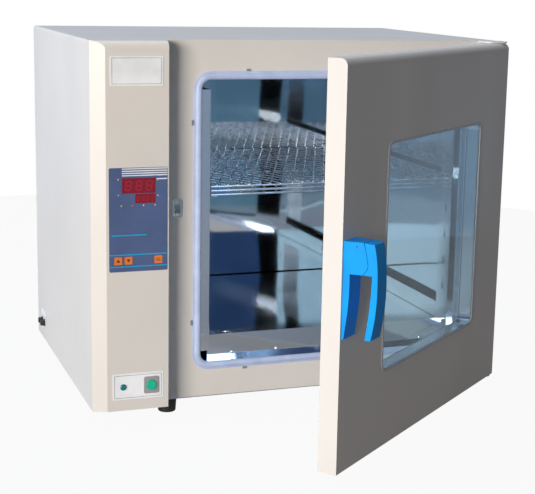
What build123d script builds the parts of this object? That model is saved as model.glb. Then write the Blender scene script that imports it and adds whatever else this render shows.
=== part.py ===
"""Bench laboratory incubator with a hinged glazed door, a control column and one mesh shelf.

Millimetres. X runs to the right, the front faces -Y, Z is up. The origin lies on the standing
plane, at the middle of the front left foot's underside.
"""
import os

from build123d import *

os.makedirs("parts", exist_ok=True)

# Cabinet
width = 835.0
depth = 575.0
height = 688.0
foot_height = 30.0
sheet = 1.5
shell_corner_radius = 5.0

# Chamber, measured from the cabinet's outside
chamber_from_left = 217.0
chamber_from_right = 71.0
chamber_from_base = 70.0
chamber_from_top = 73.5
chamber_from_back = 58.0
chamber_corner_radius = 18.0
liner_sheet = 1.0
side_insulation = 62.0
rear_flange = 18.0
front_flange = 14.0
pan_rim = 13.0

# Seal round the chamber opening
gasket_width = 16.0
gasket_proud = 6.2
gasket_clearance = 0.3

# Control column
column_width = 143.0
column_bevel_width = 26.0
column_bevel_depth = 12.5
column_top_radius = 15.0

# Door
door_thickness = 35.0
door_side_gap = 2.5
door_edge_inset = 0.5
door_top_radius = 12.0
door_open_angle = 40.0
window_from_hinge_edge = 129.0
window_from_free_edge = 160.0
window_from_bottom = 138.5
window_from_top = 147.5
window_corner_radius = 14.0
glass_thickness = 4.0
glass_overlap = 12.0
inner_panel_sheet = 1.2

# Door hinges
hinge_plate = 3.0
hinge_clearance = 0.5
hinge_flange_sheet = 2.5
hinge_flange_height = 46.0
hinge_flange_width = 34.0
hinge_pin_radius = 4.0
hinge_pin_length = 20.0
hinge_pin_from_side = 12.0
hinge_pin_from_front = 13.5
hinge_running_clearance = 0.05
hinge_bush_radius = 7.0

# Latch and handle
latch_from_left = 170.0
handle_from_base = 389.0
handle_width = 41.0
handle_nose_width = 33.0
handle_nose_reach = 60.0
handle_slot_width = 22.0
handle_side_clearance = 0.3
handle_pin_radius = 2.0
handle_pin_reach = 24.0
hook_width = 6.0
hook_arm_height = 6.0
hook_slot_width = 9.0

# Shelf, uprights and rails
upright_width = 50.0
upright_reach = 20.0
upright_sheet = 1.2
upright_from_front = 10.0
upright_from_rear = 9.0
upright_slot_pitch = 54.5
upright_slot_width = 6.0
upright_slot_height = 14.0
rail_sheet = 1.2
rail_height = 25.0
rail_ledge = 16.0
rail_slot_offset = 9.0
lower_rail_from_base = 119.5
shelf_rail_pitches = 5
shelf_side_clearance = 2.0
shelf_lift = 0.3
shelf_wire_radius = 2.25
shelf_side_wire_radius = 2.0
shelf_wire_overhang = 5.0
shelf_wire_pitch = 8.0
shelf_tie_radius = 1.4
shelf_front_ties = 21
shelf_side_ties = 4
shelf_from_front = 12.0
shelf_from_back = 6.0
shelf_mesh_sheet = 1.5
mesh_columns = 23
mesh_rows = 9
mesh_strand = 3.0
mesh_border = 5.0

# Raised floor plate over the heater
floor_plate_sheet = 1.2
floor_plate_from_front = 22.0
floor_plate_from_back = 9.0
floor_plate_height = 47.5
riser_screw_from_end = 52.0
riser_screw_spread = 0.542
riser_screw_height = 9.0

# Feet
foot_top_radius = 19.0
foot_bottom_radius = 17.0
foot_screw_radius = 3.0
left_feet_from_left = 158.0
right_feet_from_right = 60.0
feet_from_front = 27.0
feet_from_back = 45.0

# Fittings on the control column
overlay_thickness = 0.6
overlay_width = 109.5
overlay_height = 193.0
overlay_from_left = 31.0
overlay_from_base = 267.0
name_plate_thickness = 0.8
name_plate_width = 97.5
name_plate_height = 53.0
name_plate_from_left = 34.5
name_plate_from_top = 27.0
key_size = 14.6
key_gap = 0.3
key_proud = 0.6
key_travel = 0.6
indicator_radius = 1.7
button_radius = 10.0
button_gap = 0.3
button_travel = 3.0
button_proud = 4.5
bezel_thickness = 2.0
board_from_front = 8.5

# Electrical compartment
tray_reach = 72.0
transformer_length = 60.0
transformer_from_end = 20.0
relay_length = 46.0
relay_height = 80.0
relay_from_end = 10.0
transformer_to_relay = 14.0
tray_depth = relay_from_end + relay_length + transformer_to_relay + transformer_length + transformer_from_end
tray_from_back = 40.0
tray_from_base = 90.0
tray_height = 160.0
tray_sheet = 2.0

# Probe and heater
probe_radius = 3.0
heater_radius = 4.0
heater_from_floor = 18.0

# Places that follow from the sizes above
left = -left_feet_from_left
right = left + width
face = -feet_from_front
back = face + depth
base = foot_height
top = base + height
door_gap = gasket_proud + gasket_clearance
column_front = face - door_gap - door_thickness
column_right = left + column_width
chamber_left = left + chamber_from_left
chamber_right = right - chamber_from_right
chamber_floor = base + chamber_from_base
chamber_ceiling = top - chamber_from_top
chamber_back = back - chamber_from_back
chamber_middle = (chamber_left + chamber_right) / 2
door_left = column_right + door_side_gap
door_right = right - door_edge_inset
door_inner = face - door_gap
door_front = door_inner - door_thickness
door_bottom = base + hinge_plate + hinge_clearance
door_top = top - hinge_plate - hinge_clearance
window_right = door_right - window_from_hinge_edge
window_left = door_left + window_from_free_edge
window_bottom = door_bottom + window_from_bottom
window_top = door_top - window_from_top
pin_x = right - hinge_pin_from_side
pin_y = door_front + hinge_pin_from_front
latch_x = left + latch_from_left
handle_z = base + handle_from_base
bulkhead_x = chamber_left - side_insulation
floor_plate_top = chamber_floor + floor_plate_height
overlay_left = left + overlay_from_left
overlay_right = overlay_left + overlay_width
overlay_bottom = base + overlay_from_base
overlay_top = overlay_bottom + overlay_height
overlay_front = column_front - overlay_thickness


def block(x0, x1, y0, y1, z0, z1):
    """A box between two corners."""
    return Pos((x0 + x1) / 2, (y0 + y1) / 2, (z0 + z1) / 2) * Box(x1 - x0, y1 - y0, z1 - z0)


def rod(start, direction, radius, length):
    """A round bar from a point along a direction."""
    return Plane(origin=start, z_dir=direction) * Cylinder(
        radius, length, align=(Align.CENTER, Align.CENTER, Align.MIN)
    )


def front_plate(x0, x1, z0, z1, y0, y1, radius=0.0):
    """A plate that faces the front, with rounded corners."""
    plane = Plane(origin=((x0 + x1) / 2, y0, (z0 + z1) / 2), x_dir=(1, 0, 0), z_dir=(0, 1, 0))
    if radius > 0:
        outline = RectangleRounded(x1 - x0, z1 - z0, radius)
    else:
        outline = Rectangle(x1 - x0, z1 - z0)
    return extrude(plane * outline, y1 - y0)


def front_ring(x0, x1, z0, z1, y0, y1, border, radius):
    """A frame round an opening: the border lies outside the opening's sizes."""
    outer = front_plate(x0 - border, x1 + border, z0 - border, z1 + border, y0, y1, radius + border)
    return outer - front_plate(x0, x1, z0, z1, y0 - 1, y1 + 1, radius)


def side_profile(points, x0, x1):
    """A profile of (y, z) points extruded along X."""
    outline = Polyline(*[(x0, y, z) for y, z in points], close=True)
    return extrude(make_face(outline), x1 - x0, dir=(1, 0, 0))


def plan_profile(points, z0, z1):
    """A profile of (x, y) points extruded upwards."""
    outline = Polyline(*[(x, y, z0) for x, y in points], close=True)
    return extrude(make_face(outline), z1 - z0, dir=(0, 0, 1))


def pan_head_screw(point, direction, radius, length):
    """A screw whose head seats at the point and whose shank runs back along the direction."""
    head_height = radius * 1.2
    head = rod(point, direction, radius * 2, head_height)
    head = fillet(head.edges().filter_by(GeomType.CIRCLE).sort_by(Axis(point, direction))[-1], radius * 0.7)
    return head + rod(point, tuple(-d for d in direction), radius, length)


def swing(shape):
    """Turn a piece of the closed door about its hinge pins to the open rest position."""
    return shape.rotate(Axis((pin_x, pin_y, 0), (0, 0, 1)), door_open_angle)


def write(name, *solids):
    """Write one sub-part."""
    pieces = []
    for shape in solids:
        pieces.extend(shape.solids())
    result = pieces[0] if len(pieces) == 1 else Compound(children=pieces)
    export_step(result, f"parts/{name}.step")


# Cabinet body


def striker_cut(grow=0.0):
    """The space that the striker's pocket takes up behind the front frame."""
    return block(
        latch_x - 8 - grow, latch_x + 8 + grow, face - 1, face + 19 + grow,
        handle_z - 30.5 - grow, handle_z + 1.5 + grow,
    )


def outer_shell():
    """Top and sides, bent from one sheet."""
    outer = block(left, right, face, back, base, top)
    outer = fillet(outer.edges().filter_by(Axis.Y).sort_by(Axis.Z)[-2:], shell_corner_radius)
    inner = block(left + sheet, right - sheet, face - 1, back + 1, base - 1, top - sheet)
    inner = fillet(inner.edges().filter_by(Axis.Y).sort_by(Axis.Z)[-2:], shell_corner_radius - sheet)
    shell = outer - inner
    flange = shell_inside(back - 2 * sheet, back - sheet, base)
    flange -= block(left + rear_flange, right - rear_flange, back - 3 * sheet, back, base - 1, top - rear_flange)
    shell += flange - block(left, right, back - 3 * sheet, back, base - 1, base + pan_rim)
    for x, z in rear_screw_places():
        shell -= rod((x, back + 1, z), (0, -1, 0), 2.0, 2 * sheet + 2)
    for y, z in fuse_places():
        shell -= rod((left - 1, y, z), (1, 0, 0), 5.0, sheet + 2)
    return shell


def shell_inside(y0, y1, z0=None):
    """The space inside the bent shell, between two depths."""
    floor = base if z0 is None else z0
    inside = block(left + sheet, right - sheet, y0, y1, floor, top - sheet)
    return fillet(inside.edges().filter_by(Axis.Y).sort_by(Axis.Z)[-2:], shell_corner_radius - sheet)


def front_frame():
    """The face plate round the chamber, with a flange turned back all round."""
    frame = shell_inside(face, face + front_flange, base + sheet)
    frame -= block(left + 2 * sheet, right - 2 * sheet, face + sheet, face + front_flange + 1,
                   base + 2 * sheet, top - 2 * sheet)
    frame -= front_plate(
        chamber_left - liner_sheet, chamber_right + liner_sheet,
        chamber_floor - liner_sheet, chamber_ceiling + liner_sheet,
        face - 1, face + sheet + 1, chamber_corner_radius + liner_sheet,
    )
    for outer_z, inward in ((top, -1), (base, 1)):
        for x, z in hinge_screw_places(outer_z, inward):
            frame -= rod((x, face - 1, z), (0, 1, 0), 2.5, sheet + 2)
    frame -= front_plate(left + 22, column_right - 20, base + 20, top - 30, face - 1, face + sheet + 1, 8)
    return frame - striker_cut()


def base_pan():
    """The floor of the cabinet, with its rims turned up inside the shell."""
    pan = block(left + sheet, right - sheet, face + front_flange, back - sheet, base, base + pan_rim)
    pan -= block(left + 2 * sheet, right - 2 * sheet, face + front_flange + sheet, back - 2 * sheet,
                 base + sheet, base + pan_rim + 1)
    pan += block(left + sheet, right - sheet, face, face + front_flange, base, base + sheet)
    for x, z in rear_screw_places():
        pan -= rod((x, back + 1, z), (0, -1, 0), 2.0, 2 * sheet + 2)
    for x, y in foot_places():
        pan -= rod((x, y, base - 1), (0, 0, 1), foot_screw_radius, sheet + 2)
    return pan


def vent_slots(x0, count, z):
    """A row of upright vent slots through the rear cover."""
    slots = []
    for i in range(count):
        x = x0 + 14.0 * i
        slots.append(front_plate(x, x + 5, z, z + 52, back - sheet - 1, back + 1, 2.4))
    return slots


def rear_screw_places():
    """Where the rear cover is screwed to the shell."""
    inset = 11.0
    places = [(x, z) for z in (base + 45, (base + top) / 2, top - inset) for x in (left + inset, right - inset)]
    middle = (left + right) / 2
    return places + [(middle, top - inset), (middle, base + pan_rim / 2 + 1)]


def back_cover():
    """The rear sheet with two groups of vent slots and the hole for the cable gland."""
    cover = shell_inside(back - sheet, back, base + sheet)
    for slot in vent_slots(left + 36, 8, base + 90) + vent_slots(left + 36, 8, top - 110):
        cover -= slot
    for x, z in rear_screw_places():
        cover -= rod((x, back + 1, z), (0, -1, 0), 2.0, sheet + 2)
    gx, gz = gland_place()
    return cover - rod((gx, back + 1, gz), (0, -1, 0), 8.0, sheet + 2)


def rear_screws():
    return [pan_head_screw((x, back, z), (0, 1, 0), 2.0, 8.0) for x, z in rear_screw_places()]


def gland_place():
    """Centre of the supply cable's gland on the rear cover."""
    return left + 62.0, base + 40.0


def cord_gland():
    """A cable gland: nut inside, hexagon and domed cap outside, with an empty bore."""
    x, z = gland_place()
    behind = Plane(origin=(x, back, z), z_dir=(0, 1, 0))
    hexagon = extrude(behind * RegularPolygon(12.0, 6), 5.0)
    cap = rod((x, back + 5, z), (0, 1, 0), 10.5, 13.0)
    cap = fillet(cap.edges().filter_by(GeomType.CIRCLE).sort_by(Axis.Y)[-1], 4.0)
    thread = rod((x, back, z), (0, -1, 0), 8.0, 12.0)
    nut = extrude(Plane(origin=(x, back - sheet, z), z_dir=(0, -1, 0)) * RegularPolygon(12.0, 6), 5.0)
    body = hexagon + cap + thread + nut
    return body - rod((x, back - 20, z), (0, 1, 0), 4.5, 50.0)


def foot_places():
    """Centres of the four feet."""
    xs = (left + left_feet_from_left, right - right_feet_from_right)
    ys = (face + feet_from_front, back - feet_from_back)
    return [(x, y) for x in xs for y in ys]


def rubber_feet():
    """Tapered rubber feet, each moulded round the broad head of its stud."""
    feet = []
    for x, y in foot_places():
        middle = Pos(x, y, foot_height / 2)
        foot = middle * Cone(foot_bottom_radius, foot_top_radius, foot_height)
        foot = fillet(foot.edges().filter_by(GeomType.CIRCLE).sort_by(Axis.Z)[0], 2.0)
        foot -= foot_stud(x, y)
        feet.append(foot)
    return feet


def foot_stud(x, y):
    """A threaded stud with a broad head half way up the foot."""
    z = foot_height / 2
    head = rod((x, y, z), (0, 0, 1), foot_screw_radius * 3, foot_screw_radius)
    return head + rod((x, y, z), (0, 0, 1), foot_screw_radius, foot_height - z + sheet + 10)


def foot_screws():
    """Studs that hold the feet to the base pan, with a nut above it."""
    screws = []
    for x, y in foot_places():
        seat = Plane(origin=(x, y, base + sheet), z_dir=(0, 0, 1))
        nut = extrude(seat * RegularPolygon(foot_screw_radius * 2, 6), 5.0)
        screws.append(foot_stud(x, y) + nut)
    return screws


# Control column


def column_body(inset):
    """The column's outer form, or the same form set in by a sheet's thickness."""
    x0, x1 = left + inset, column_right - inset
    y0 = column_front + inset
    bevel = inset * 0.55
    plan = plan_profile(
        [
            (x0, face + inset),
            (x0, column_front + column_bevel_depth + bevel),
            (left + column_bevel_width + bevel, y0),
            (x1, y0),
            (x1, face + inset),
        ],
        base + inset, top - inset,
    )
    side = block(left - 1, column_right + 1, y0, face + inset, base + inset, top - inset)
    front_top = side.edges().filter_by(Axis.X).group_by(Axis.Y)[0].sort_by(Axis.Z)[-1]
    return plan & fillet(front_top, column_top_radius - inset)


def control_column():
    """The column's bent cover, open towards the cabinet, with the holes for its fittings."""
    inner = column_body(sheet)
    cover = column_body(0.0) - inner
    cover -= block(left + sheet, column_right - sheet, face - sheet - 1, face + 1, base + sheet, top - sheet)
    cover = cover - [display_cut(place, 0.0, column_front - 1, column_front + 3) for place in display_places()]
    for x, z in key_places().values():
        cover -= key_cut(x, z, column_front - 1, column_front + 3)
    for x, z in indicator_places():
        cover -= rod((x, column_front - 1, z), (0, 1, 0), indicator_radius, 4)
    bx, bz = power_place()
    cover -= block(bx - 12, bx + 12, column_front - 1, column_front + 3, bz - 12, bz + 12)
    lx, lz = lamp_place()
    return cover - rod((lx, column_front - 1, lz), (0, 1, 0), 5.0, 4)


def display_places():
    """The two lit windows as x0, x1, z0, z1."""
    return [
        (overlay_left + 24.0, overlay_left + 87.0, overlay_top - 47.5, overlay_top - 19.0),
        (overlay_left + 48.5, overlay_left + 87.0, overlay_top - 66.0, overlay_top - 48.5),
    ]


def display_cut(place, inset, y0, y1):
    x0, x1, z0, z1 = place
    return block(x0 + inset, x1 - inset, y0, y1, z0 + inset, z1 - inset)


def key_places():
    """Centres of the three keys."""
    z = overlay_bottom + 20.8
    return {"up": (overlay_left + 16.7, z), "down": (overlay_left + 35.8, z), "set": (overlay_left + 92.0, z)}


def key_cut(x, z, y0, y1):
    half = key_size / 2 + key_gap
    return block(x - half, x + half, y0, y1, z - half, z + half)


def indicator_places():
    """Centres of the small indicator lights."""
    beside = [(17.6, 21.0), (17.6, 50.0), (91.3, 23.5), (91.3, 52.5)]
    below = [(x, 70.0) for x in (23.0, 43.5, 64.5, 86.0)]
    return [(overlay_left + x, overlay_top - drop) for x, drop in beside + below]


def power_place():
    return left + 109.5, base + 47.0


def lamp_place():
    return left + 56.0, base + 46.0


def control_overlay():
    """The printed panel sheet with openings for displays, lights and keys."""
    y0, y1 = overlay_front, column_front
    sheet_part = front_plate(overlay_left, overlay_right, overlay_bottom, overlay_top, y0, y1, 3.0)
    for place in display_places():
        sheet_part -= display_cut(place, 0.0, y0 - 1, y1 + 1)
    for x, z in key_places().values():
        sheet_part -= key_cut(x, z, y0 - 1, y1 + 1)
    for x, z in indicator_places():
        sheet_part -= rod((x, y0 - 1, z), (0, 1, 0), indicator_radius, 3)
    return sheet_part


def display_windows():
    """Tinted windows that fill the overlay and the cover flush."""
    y0, y1 = overlay_front, column_front + sheet
    return [display_cut(place, 0.0, y0, y1) for place in display_places()]


def indicator_lights():
    """Small lights with a domed nose, seated on the board."""
    lights = []
    for x, z in indicator_places():
        light = rod((x, overlay_front - 0.5, z), (0, 1, 0), indicator_radius,
                    board_from_front + overlay_thickness + 0.5)
        light = fillet(light.edges().filter_by(GeomType.CIRCLE).sort_by(Axis.Y)[0], 0.8)
        lights.append(light)
    return lights


def control_board():
    """The board behind the panel, on four posts from the cover."""
    y = column_front + board_from_front
    x0, x1 = overlay_left + 3, overlay_right - 6
    z0, z1 = overlay_bottom - 6, overlay_top + 6
    board = block(x0, x1, y, y + 1.6, z0, z1)
    for x in (x0 + 4, x1 - 4):
        for z in (z0 + 4, z1 - 4):
            board += rod((x, column_front + sheet, z), (0, 1, 0), 3.0, board_from_front - sheet)
    return board


def digit_modules():
    """The blocks that carry the digits, between the board and the windows."""
    y0, y1 = column_front + sheet, column_front + board_from_front
    return [display_cut(place, 1.0, y0, y1) for place in display_places()]


def key_switches():
    """Small push switches on the board behind the keys."""
    y1 = column_front + board_from_front
    switches = []
    for x, z in key_places().values():
        body = block(x - 3, x + 3, y1 - 2.6, y1, z - 3, z + 3)
        switches.append(body + rod((x, y1 - 3.2, z), (0, 1, 0), 1.75, 1.5))
    return switches


def key_cap(x, z):
    """A key with a flange behind the cover and a stem towards its switch."""
    y0 = overlay_front - key_proud
    half = key_size / 2
    cap = front_plate(x - half, x + half, z - half, z + half, y0, column_front + sheet + 0.2, 1.5)
    flange = block(x - half - 1.5, x + half + 1.5, column_front + sheet + 0.2, column_front + sheet + 1.2,
                   z - half - 1.5, z + half + 1.5)
    stem_end = column_front + board_from_front - 3.2 - key_travel - 0.2
    stem = rod((x, column_front + sheet + 0.5, z), (0, 1, 0), 2.0, stem_end - column_front - sheet - 0.5)
    return cap + flange + stem


def name_plate():
    """The bare white plate near the top of the column."""
    x0, z1 = left + name_plate_from_left, top - name_plate_from_top
    return front_plate(x0, x0 + name_plate_width, z1 - name_plate_height, z1,
                       column_front - name_plate_thickness, column_front, 1.5)


def switch_plate():
    """The bare white plate round the lamp and the power button."""
    y0 = overlay_front
    plate = front_plate(left + 36.0, left + 132.5, base + 21.5, base + 71.5, y0, column_front, 1.5)
    bx, bz = power_place()
    lx, lz = lamp_place()
    plate -= block(bx - 12, bx + 12, y0 - 1, column_front + 1, bz - 12, bz + 12)
    return plate - rod((lx, y0 - 1, lz), (0, 1, 0), 5.0, 3)


def power_switch():
    """The switch's bezel and body, with the bore that its button moves in."""
    x, z = power_place()
    y0 = overlay_front - bezel_thickness
    bezel = front_plate(x - 14.5, x + 14.5, z - 16.5, z + 16.5, y0, overlay_front, 4.0)
    bezel = fillet(bezel.edges().group_by(Axis.Y)[0], 0.9)
    body = block(x - 12, x + 12, overlay_front, column_front + 22, z - 12, z + 12)
    bore = rod((x, y0 - 1, z), (0, 1, 0), button_radius + button_gap, 1 + bezel_thickness + 13)
    return bezel + body - bore


def power_button():
    """The round push button."""
    x, z = power_place()
    y0 = overlay_front - button_proud
    button = rod((x, y0, z), (0, 1, 0), button_radius, button_proud + 7.0)
    return fillet(button.edges().filter_by(GeomType.CIRCLE).sort_by(Axis.Y)[0], 1.2)


def pilot_lamp():
    """A domed lamp lens with its body behind the cover."""
    x, z = lamp_place()
    y0 = overlay_front
    lens = rod((x, y0 - 2.6, z), (0, 1, 0), 6.2, 2.6)
    lens = fillet(lens.edges().filter_by(GeomType.CIRCLE).sort_by(Axis.Y)[0], 2.0)
    return lens + rod((x, y0, z), (0, 1, 0), 5.0, 20.0)


def fuse_places():
    """Centres of the two fuse holders on the left side, as y, z."""
    z = base + 38.0
    return [(back - 83.0, z), (back - 57.0, z)]


def fuse_holders():
    """Fuse holders: a flange and a slotted cap outside, a threaded body with a nut inside."""
    holders = []
    for y, z in fuse_places():
        flange = rod((left, y, z), (-1, 0, 0), 8.0, 2.0)
        cap = rod((left - 2, y, z), (-1, 0, 0), 6.2, 7.5)
        cap = fillet(cap.edges().filter_by(GeomType.CIRCLE).sort_by(Axis.X)[0], 1.0)
        cap -= block(left - 10, left - 8, y - 7, y + 7, z - 0.8, z + 0.8)
        inside = rod((left, y, z), (1, 0, 0), 5.0, 26.0)
        nut = extrude(Plane(origin=(left + sheet, y, z), z_dir=(1, 0, 0)) * RegularPolygon(8.0, 6), 3.0)
        holders.append(flange + cap + inside + nut)
    return holders


def fuse_plate():
    """The small bare plate above the fuse holders."""
    (y0, z), (y1, _) = fuse_places()
    return block(left - 0.6, left, y0 - 8, y1 + 8, z + 12, z + 24)


# Chamber


def chamber_form(grow, y0, y1):
    """The chamber's inside form, grown by a thickness."""
    form = front_plate(
        chamber_left - grow, chamber_right + grow, chamber_floor - grow, chamber_ceiling + grow,
        y0, y1, chamber_corner_radius + grow,
    )
    return form


def chamber_liner():
    """The bright liner: one drawn box, open at the front."""
    outer = chamber_form(liner_sheet, face, chamber_back + liner_sheet)
    liner = outer - chamber_form(0.0, face - 1, chamber_back)
    px, py, pz = probe_place()
    return liner - rod((px - 5, py, pz), (1, 0, 0), probe_radius, 10)


def insulation():
    """The insulation between the liner and the cabinet's sheets."""
    fill = shell_inside(face + front_flange, back - 12, base + pan_rim)
    fill -= block(left - 1, bulkhead_x, face - 5, back + 5, base - 5, top + 5)
    fill -= chamber_form(liner_sheet, face - 5, chamber_back + liner_sheet)
    px, py, pz = probe_place()
    fill -= rod((bulkhead_x - 5, py, pz), (1, 0, 0), probe_radius, side_insulation + 10)
    return fill - striker_cut(0.5)


def compartment_bulkhead():
    """The wall between the insulation and the electrical compartment."""
    wall = block(bulkhead_x - sheet, bulkhead_x, face + front_flange, back - 12, base + pan_rim, top - sheet)
    px, py, pz = probe_place()
    return wall - rod((px - 90, py, pz), (1, 0, 0), probe_radius, 60)


def electronics_tray():
    """A folded tray on the bulkhead that carries the transformer and the relay."""
    x1 = bulkhead_x - sheet
    y1 = back - tray_from_back
    z0 = base + tray_from_base
    tray = block(x1 - tray_reach, x1, y1 - tray_depth, y1, z0, z0 + tray_sheet)
    return tray + block(x1 - tray_sheet, x1, y1 - tray_depth, y1, z0 + tray_sheet, z0 + tray_height)


def transformer():
    """Laminated core with its two windings."""
    x1 = bulkhead_x - sheet - tray_sheet
    y1 = back - tray_from_back - transformer_from_end
    z0 = base + tray_from_base + tray_sheet
    core = block(x1 - 60, x1 - 10, y1 - transformer_length, y1, z0, z0 + 62)
    core -= block(x1 - 61, x1 - 9, y1 - 48, y1 - 37, z0 + 12, z0 + 50)
    core -= block(x1 - 61, x1 - 9, y1 - 23, y1 - 12, z0 + 12, z0 + 50)
    winding = block(x1 - 66, x1 - 4, y1 - 47, y1 - 13, z0 + 13, z0 + 49)
    winding -= block(x1 - 60, x1 - 10, y1 - 48, y1 - 12, z0 + 12, z0 + 50)
    return core, winding


def relay_block():
    """The relay that switches the heater, on a finned sink."""
    x1 = bulkhead_x - sheet - tray_sheet
    y0 = back - tray_from_back - tray_depth + relay_from_end
    z0 = base + tray_from_base + 30
    sink = block(x1 - 8, x1, y0, y0 + relay_length, z0, z0 + relay_height)
    for i in range(6):
        y = y0 + 2 + 8 * i
        sink += block(x1 - 24, x1 - 8, y, y + 2, z0, z0 + relay_height)
    return sink + block(x1 - 44, x1 - 24, y0 + 2, y0 + relay_length - 2, z0 + 12, z0 + relay_height - 12)


def probe_place():
    """Where the temperature probe passes through the liner's left wall."""
    return chamber_left, (face + chamber_back) / 2, chamber_ceiling - 144.5


def temperature_probe():
    """A sheathed probe with a collar inside the chamber and a tail in the compartment."""
    x, y, z = probe_place()
    tail = 12.0
    length = tail + sheet + side_insulation + upright_reach
    stem = rod((bulkhead_x - sheet - tail, y, z), (1, 0, 0), probe_radius, length)
    collar = rod((x, y, z), (1, 0, 0), 8.0, 3.0)
    return stem + collar


def opening_gasket():
    """The soft rounded seal round the opening."""
    ring = front_ring(chamber_left, chamber_right, chamber_floor, chamber_ceiling,
                      face - gasket_proud, face, gasket_width, chamber_corner_radius)
    return fillet(ring.edges().group_by(Axis.Y)[0], gasket_proud * 0.75)


def gasket_clips():
    """Small dark clips that hold the seal's outer edge."""
    clips = []
    above = chamber_ceiling + gasket_width
    below = chamber_floor - gasket_width
    beside = (chamber_left - gasket_width - 4, chamber_right + gasket_width)
    for x in (chamber_left + 90, chamber_right - 90):
        clips.append(block(x - 4, x + 4, face - 2, face, above, above + 4))
        clips.append(block(x - 4, x + 4, face - 2, face, below - 4, below))
    for z in (chamber_floor + 80, chamber_ceiling - 80):
        for x in beside:
            clips.append(block(x, x + 4, face - 2, face, z - 5, z + 5))
    return clips


def upright_bands():
    """Front and rear uprights as depth ranges."""
    front = face + upright_from_front
    rear = chamber_back - upright_from_rear
    return [(front, front + upright_width), (rear - upright_width, rear)]


def slot_heights():
    """Heights of the slots in the uprights, in line with the rails."""
    first = base + lower_rail_from_base + rail_slot_offset
    heights = []
    z = first
    while z < chamber_ceiling - chamber_corner_radius - upright_slot_height:
        heights.append(z)
        z += upright_slot_pitch
    return heights


def upright(wall_x, inward, band):
    """One channel with a row of slots, standing off the chamber's side wall."""
    y0, y1 = band
    x0, x1 = sorted((wall_x, wall_x + inward * upright_reach))
    z0, z1 = chamber_floor + chamber_corner_radius + 1, chamber_ceiling - chamber_corner_radius - 1
    channel = block(x0, x1, y0, y1, z0, z1)
    if inward > 0:
        channel -= block(x0 - 1, x1 - upright_sheet, y0 + upright_sheet, y1 - upright_sheet, z0 - 1, z1 + 1)
    else:
        channel -= block(x0 + upright_sheet, x1 + 1, y0 + upright_sheet, y1 - upright_sheet, z0 - 1, z1 + 1)
    middle = (y0 + y1) / 2
    for z in slot_heights():
        channel -= block(x0 - 2, x1 + 2, middle - upright_slot_width / 2, middle + upright_slot_width / 2,
                         z - upright_slot_height / 2, z + upright_slot_height / 2)
    return channel


def shelf_uprights():
    posts = []
    for band in upright_bands():
        posts.append(upright(chamber_left, 1, band))
        posts.append(upright(chamber_right, -1, band))
    return posts


def rail(wall_x, inward, z):
    """One angled rail that hooks into the slots of two uprights."""
    face_x = wall_x + inward * upright_reach
    (front, _), (_, rear) = upright_bands()
    xs = sorted((face_x, face_x + inward * rail_sheet))
    leg = block(xs[0], xs[1], front + 2, rear - 2, z - rail_sheet, z - rail_sheet + rail_height)
    xs = sorted((face_x, face_x + inward * rail_ledge))
    ledge = block(xs[0], xs[1], front + 2, rear - 2, z - rail_sheet, z)
    part = leg + ledge
    for y0, y1 in upright_bands():
        middle = (y0 + y1) / 2
        xs = sorted((face_x - inward * 5.0, face_x + inward * rail_sheet))
        part += block(xs[0], xs[1], middle - 2, middle + 2, z + rail_slot_offset - 5, z + rail_slot_offset + 5)
    return part


def shelf_height():
    """Top of the ledges that carry the shelf."""
    return base + lower_rail_from_base + shelf_rail_pitches * upright_slot_pitch


def shelf_rails():
    rails = []
    for z in (base + lower_rail_from_base, shelf_height()):
        rails.append(rail(chamber_left, 1, z))
        rails.append(rail(chamber_right, -1, z))
    return rails


def shelf_bounds():
    """The shelf's outline between the rails."""
    inset = upright_reach + rail_sheet + shelf_side_clearance
    return chamber_left + inset, chamber_right - inset, face + shelf_from_front, chamber_back - shelf_from_back


def shelf_wire_heights():
    lowest = shelf_height() + shelf_lift + shelf_wire_radius
    return [lowest + shelf_wire_pitch * i for i in range(3)]


def shelf_frame():
    """Welded wires: three along the front, two round the other sides, and upright ties."""
    x0, x1, y0, y1 = shelf_bounds()
    r = shelf_wire_radius
    side_r = shelf_side_wire_radius
    low, middle, high = shelf_wire_heights()
    side_xs = (x0 + shelf_wire_overhang, x1 - shelf_wire_overhang)
    wires = [rod((x0, y0 + r, z), (1, 0, 0), r, x1 - x0) for z in (low, middle, high)]
    for z in (low, high):
        wires.append(rod((x0, y1 - r, z), (1, 0, 0), r, x1 - x0))
        for x in side_xs:
            wires.append(rod((x, y0 + r, z), (0, 1, 0), side_r, y1 - y0 - 2 * r))
    for i in range(shelf_front_ties):
        x = x0 + 12 + (x1 - x0 - 24) * i / (shelf_front_ties - 1)
        wires.append(rod((x, y0 + r, low), (0, 0, 1), shelf_tie_radius, high - low))
    for i in range(shelf_side_ties):
        y = y0 + 20 + (y1 - y0 - 40) * i / (shelf_side_ties - 1)
        for x in side_xs:
            wires.append(rod((x, y, low), (0, 0, 1), shelf_tie_radius, high - low))
    for y in (y0 + (y1 - y0) / 3, y0 + (y1 - y0) * 2 / 3):
        wires.append(rod((side_xs[0], y, high), (1, 0, 0), shelf_tie_radius, side_xs[1] - side_xs[0]))
    return wires[0] + wires[1:]


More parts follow.
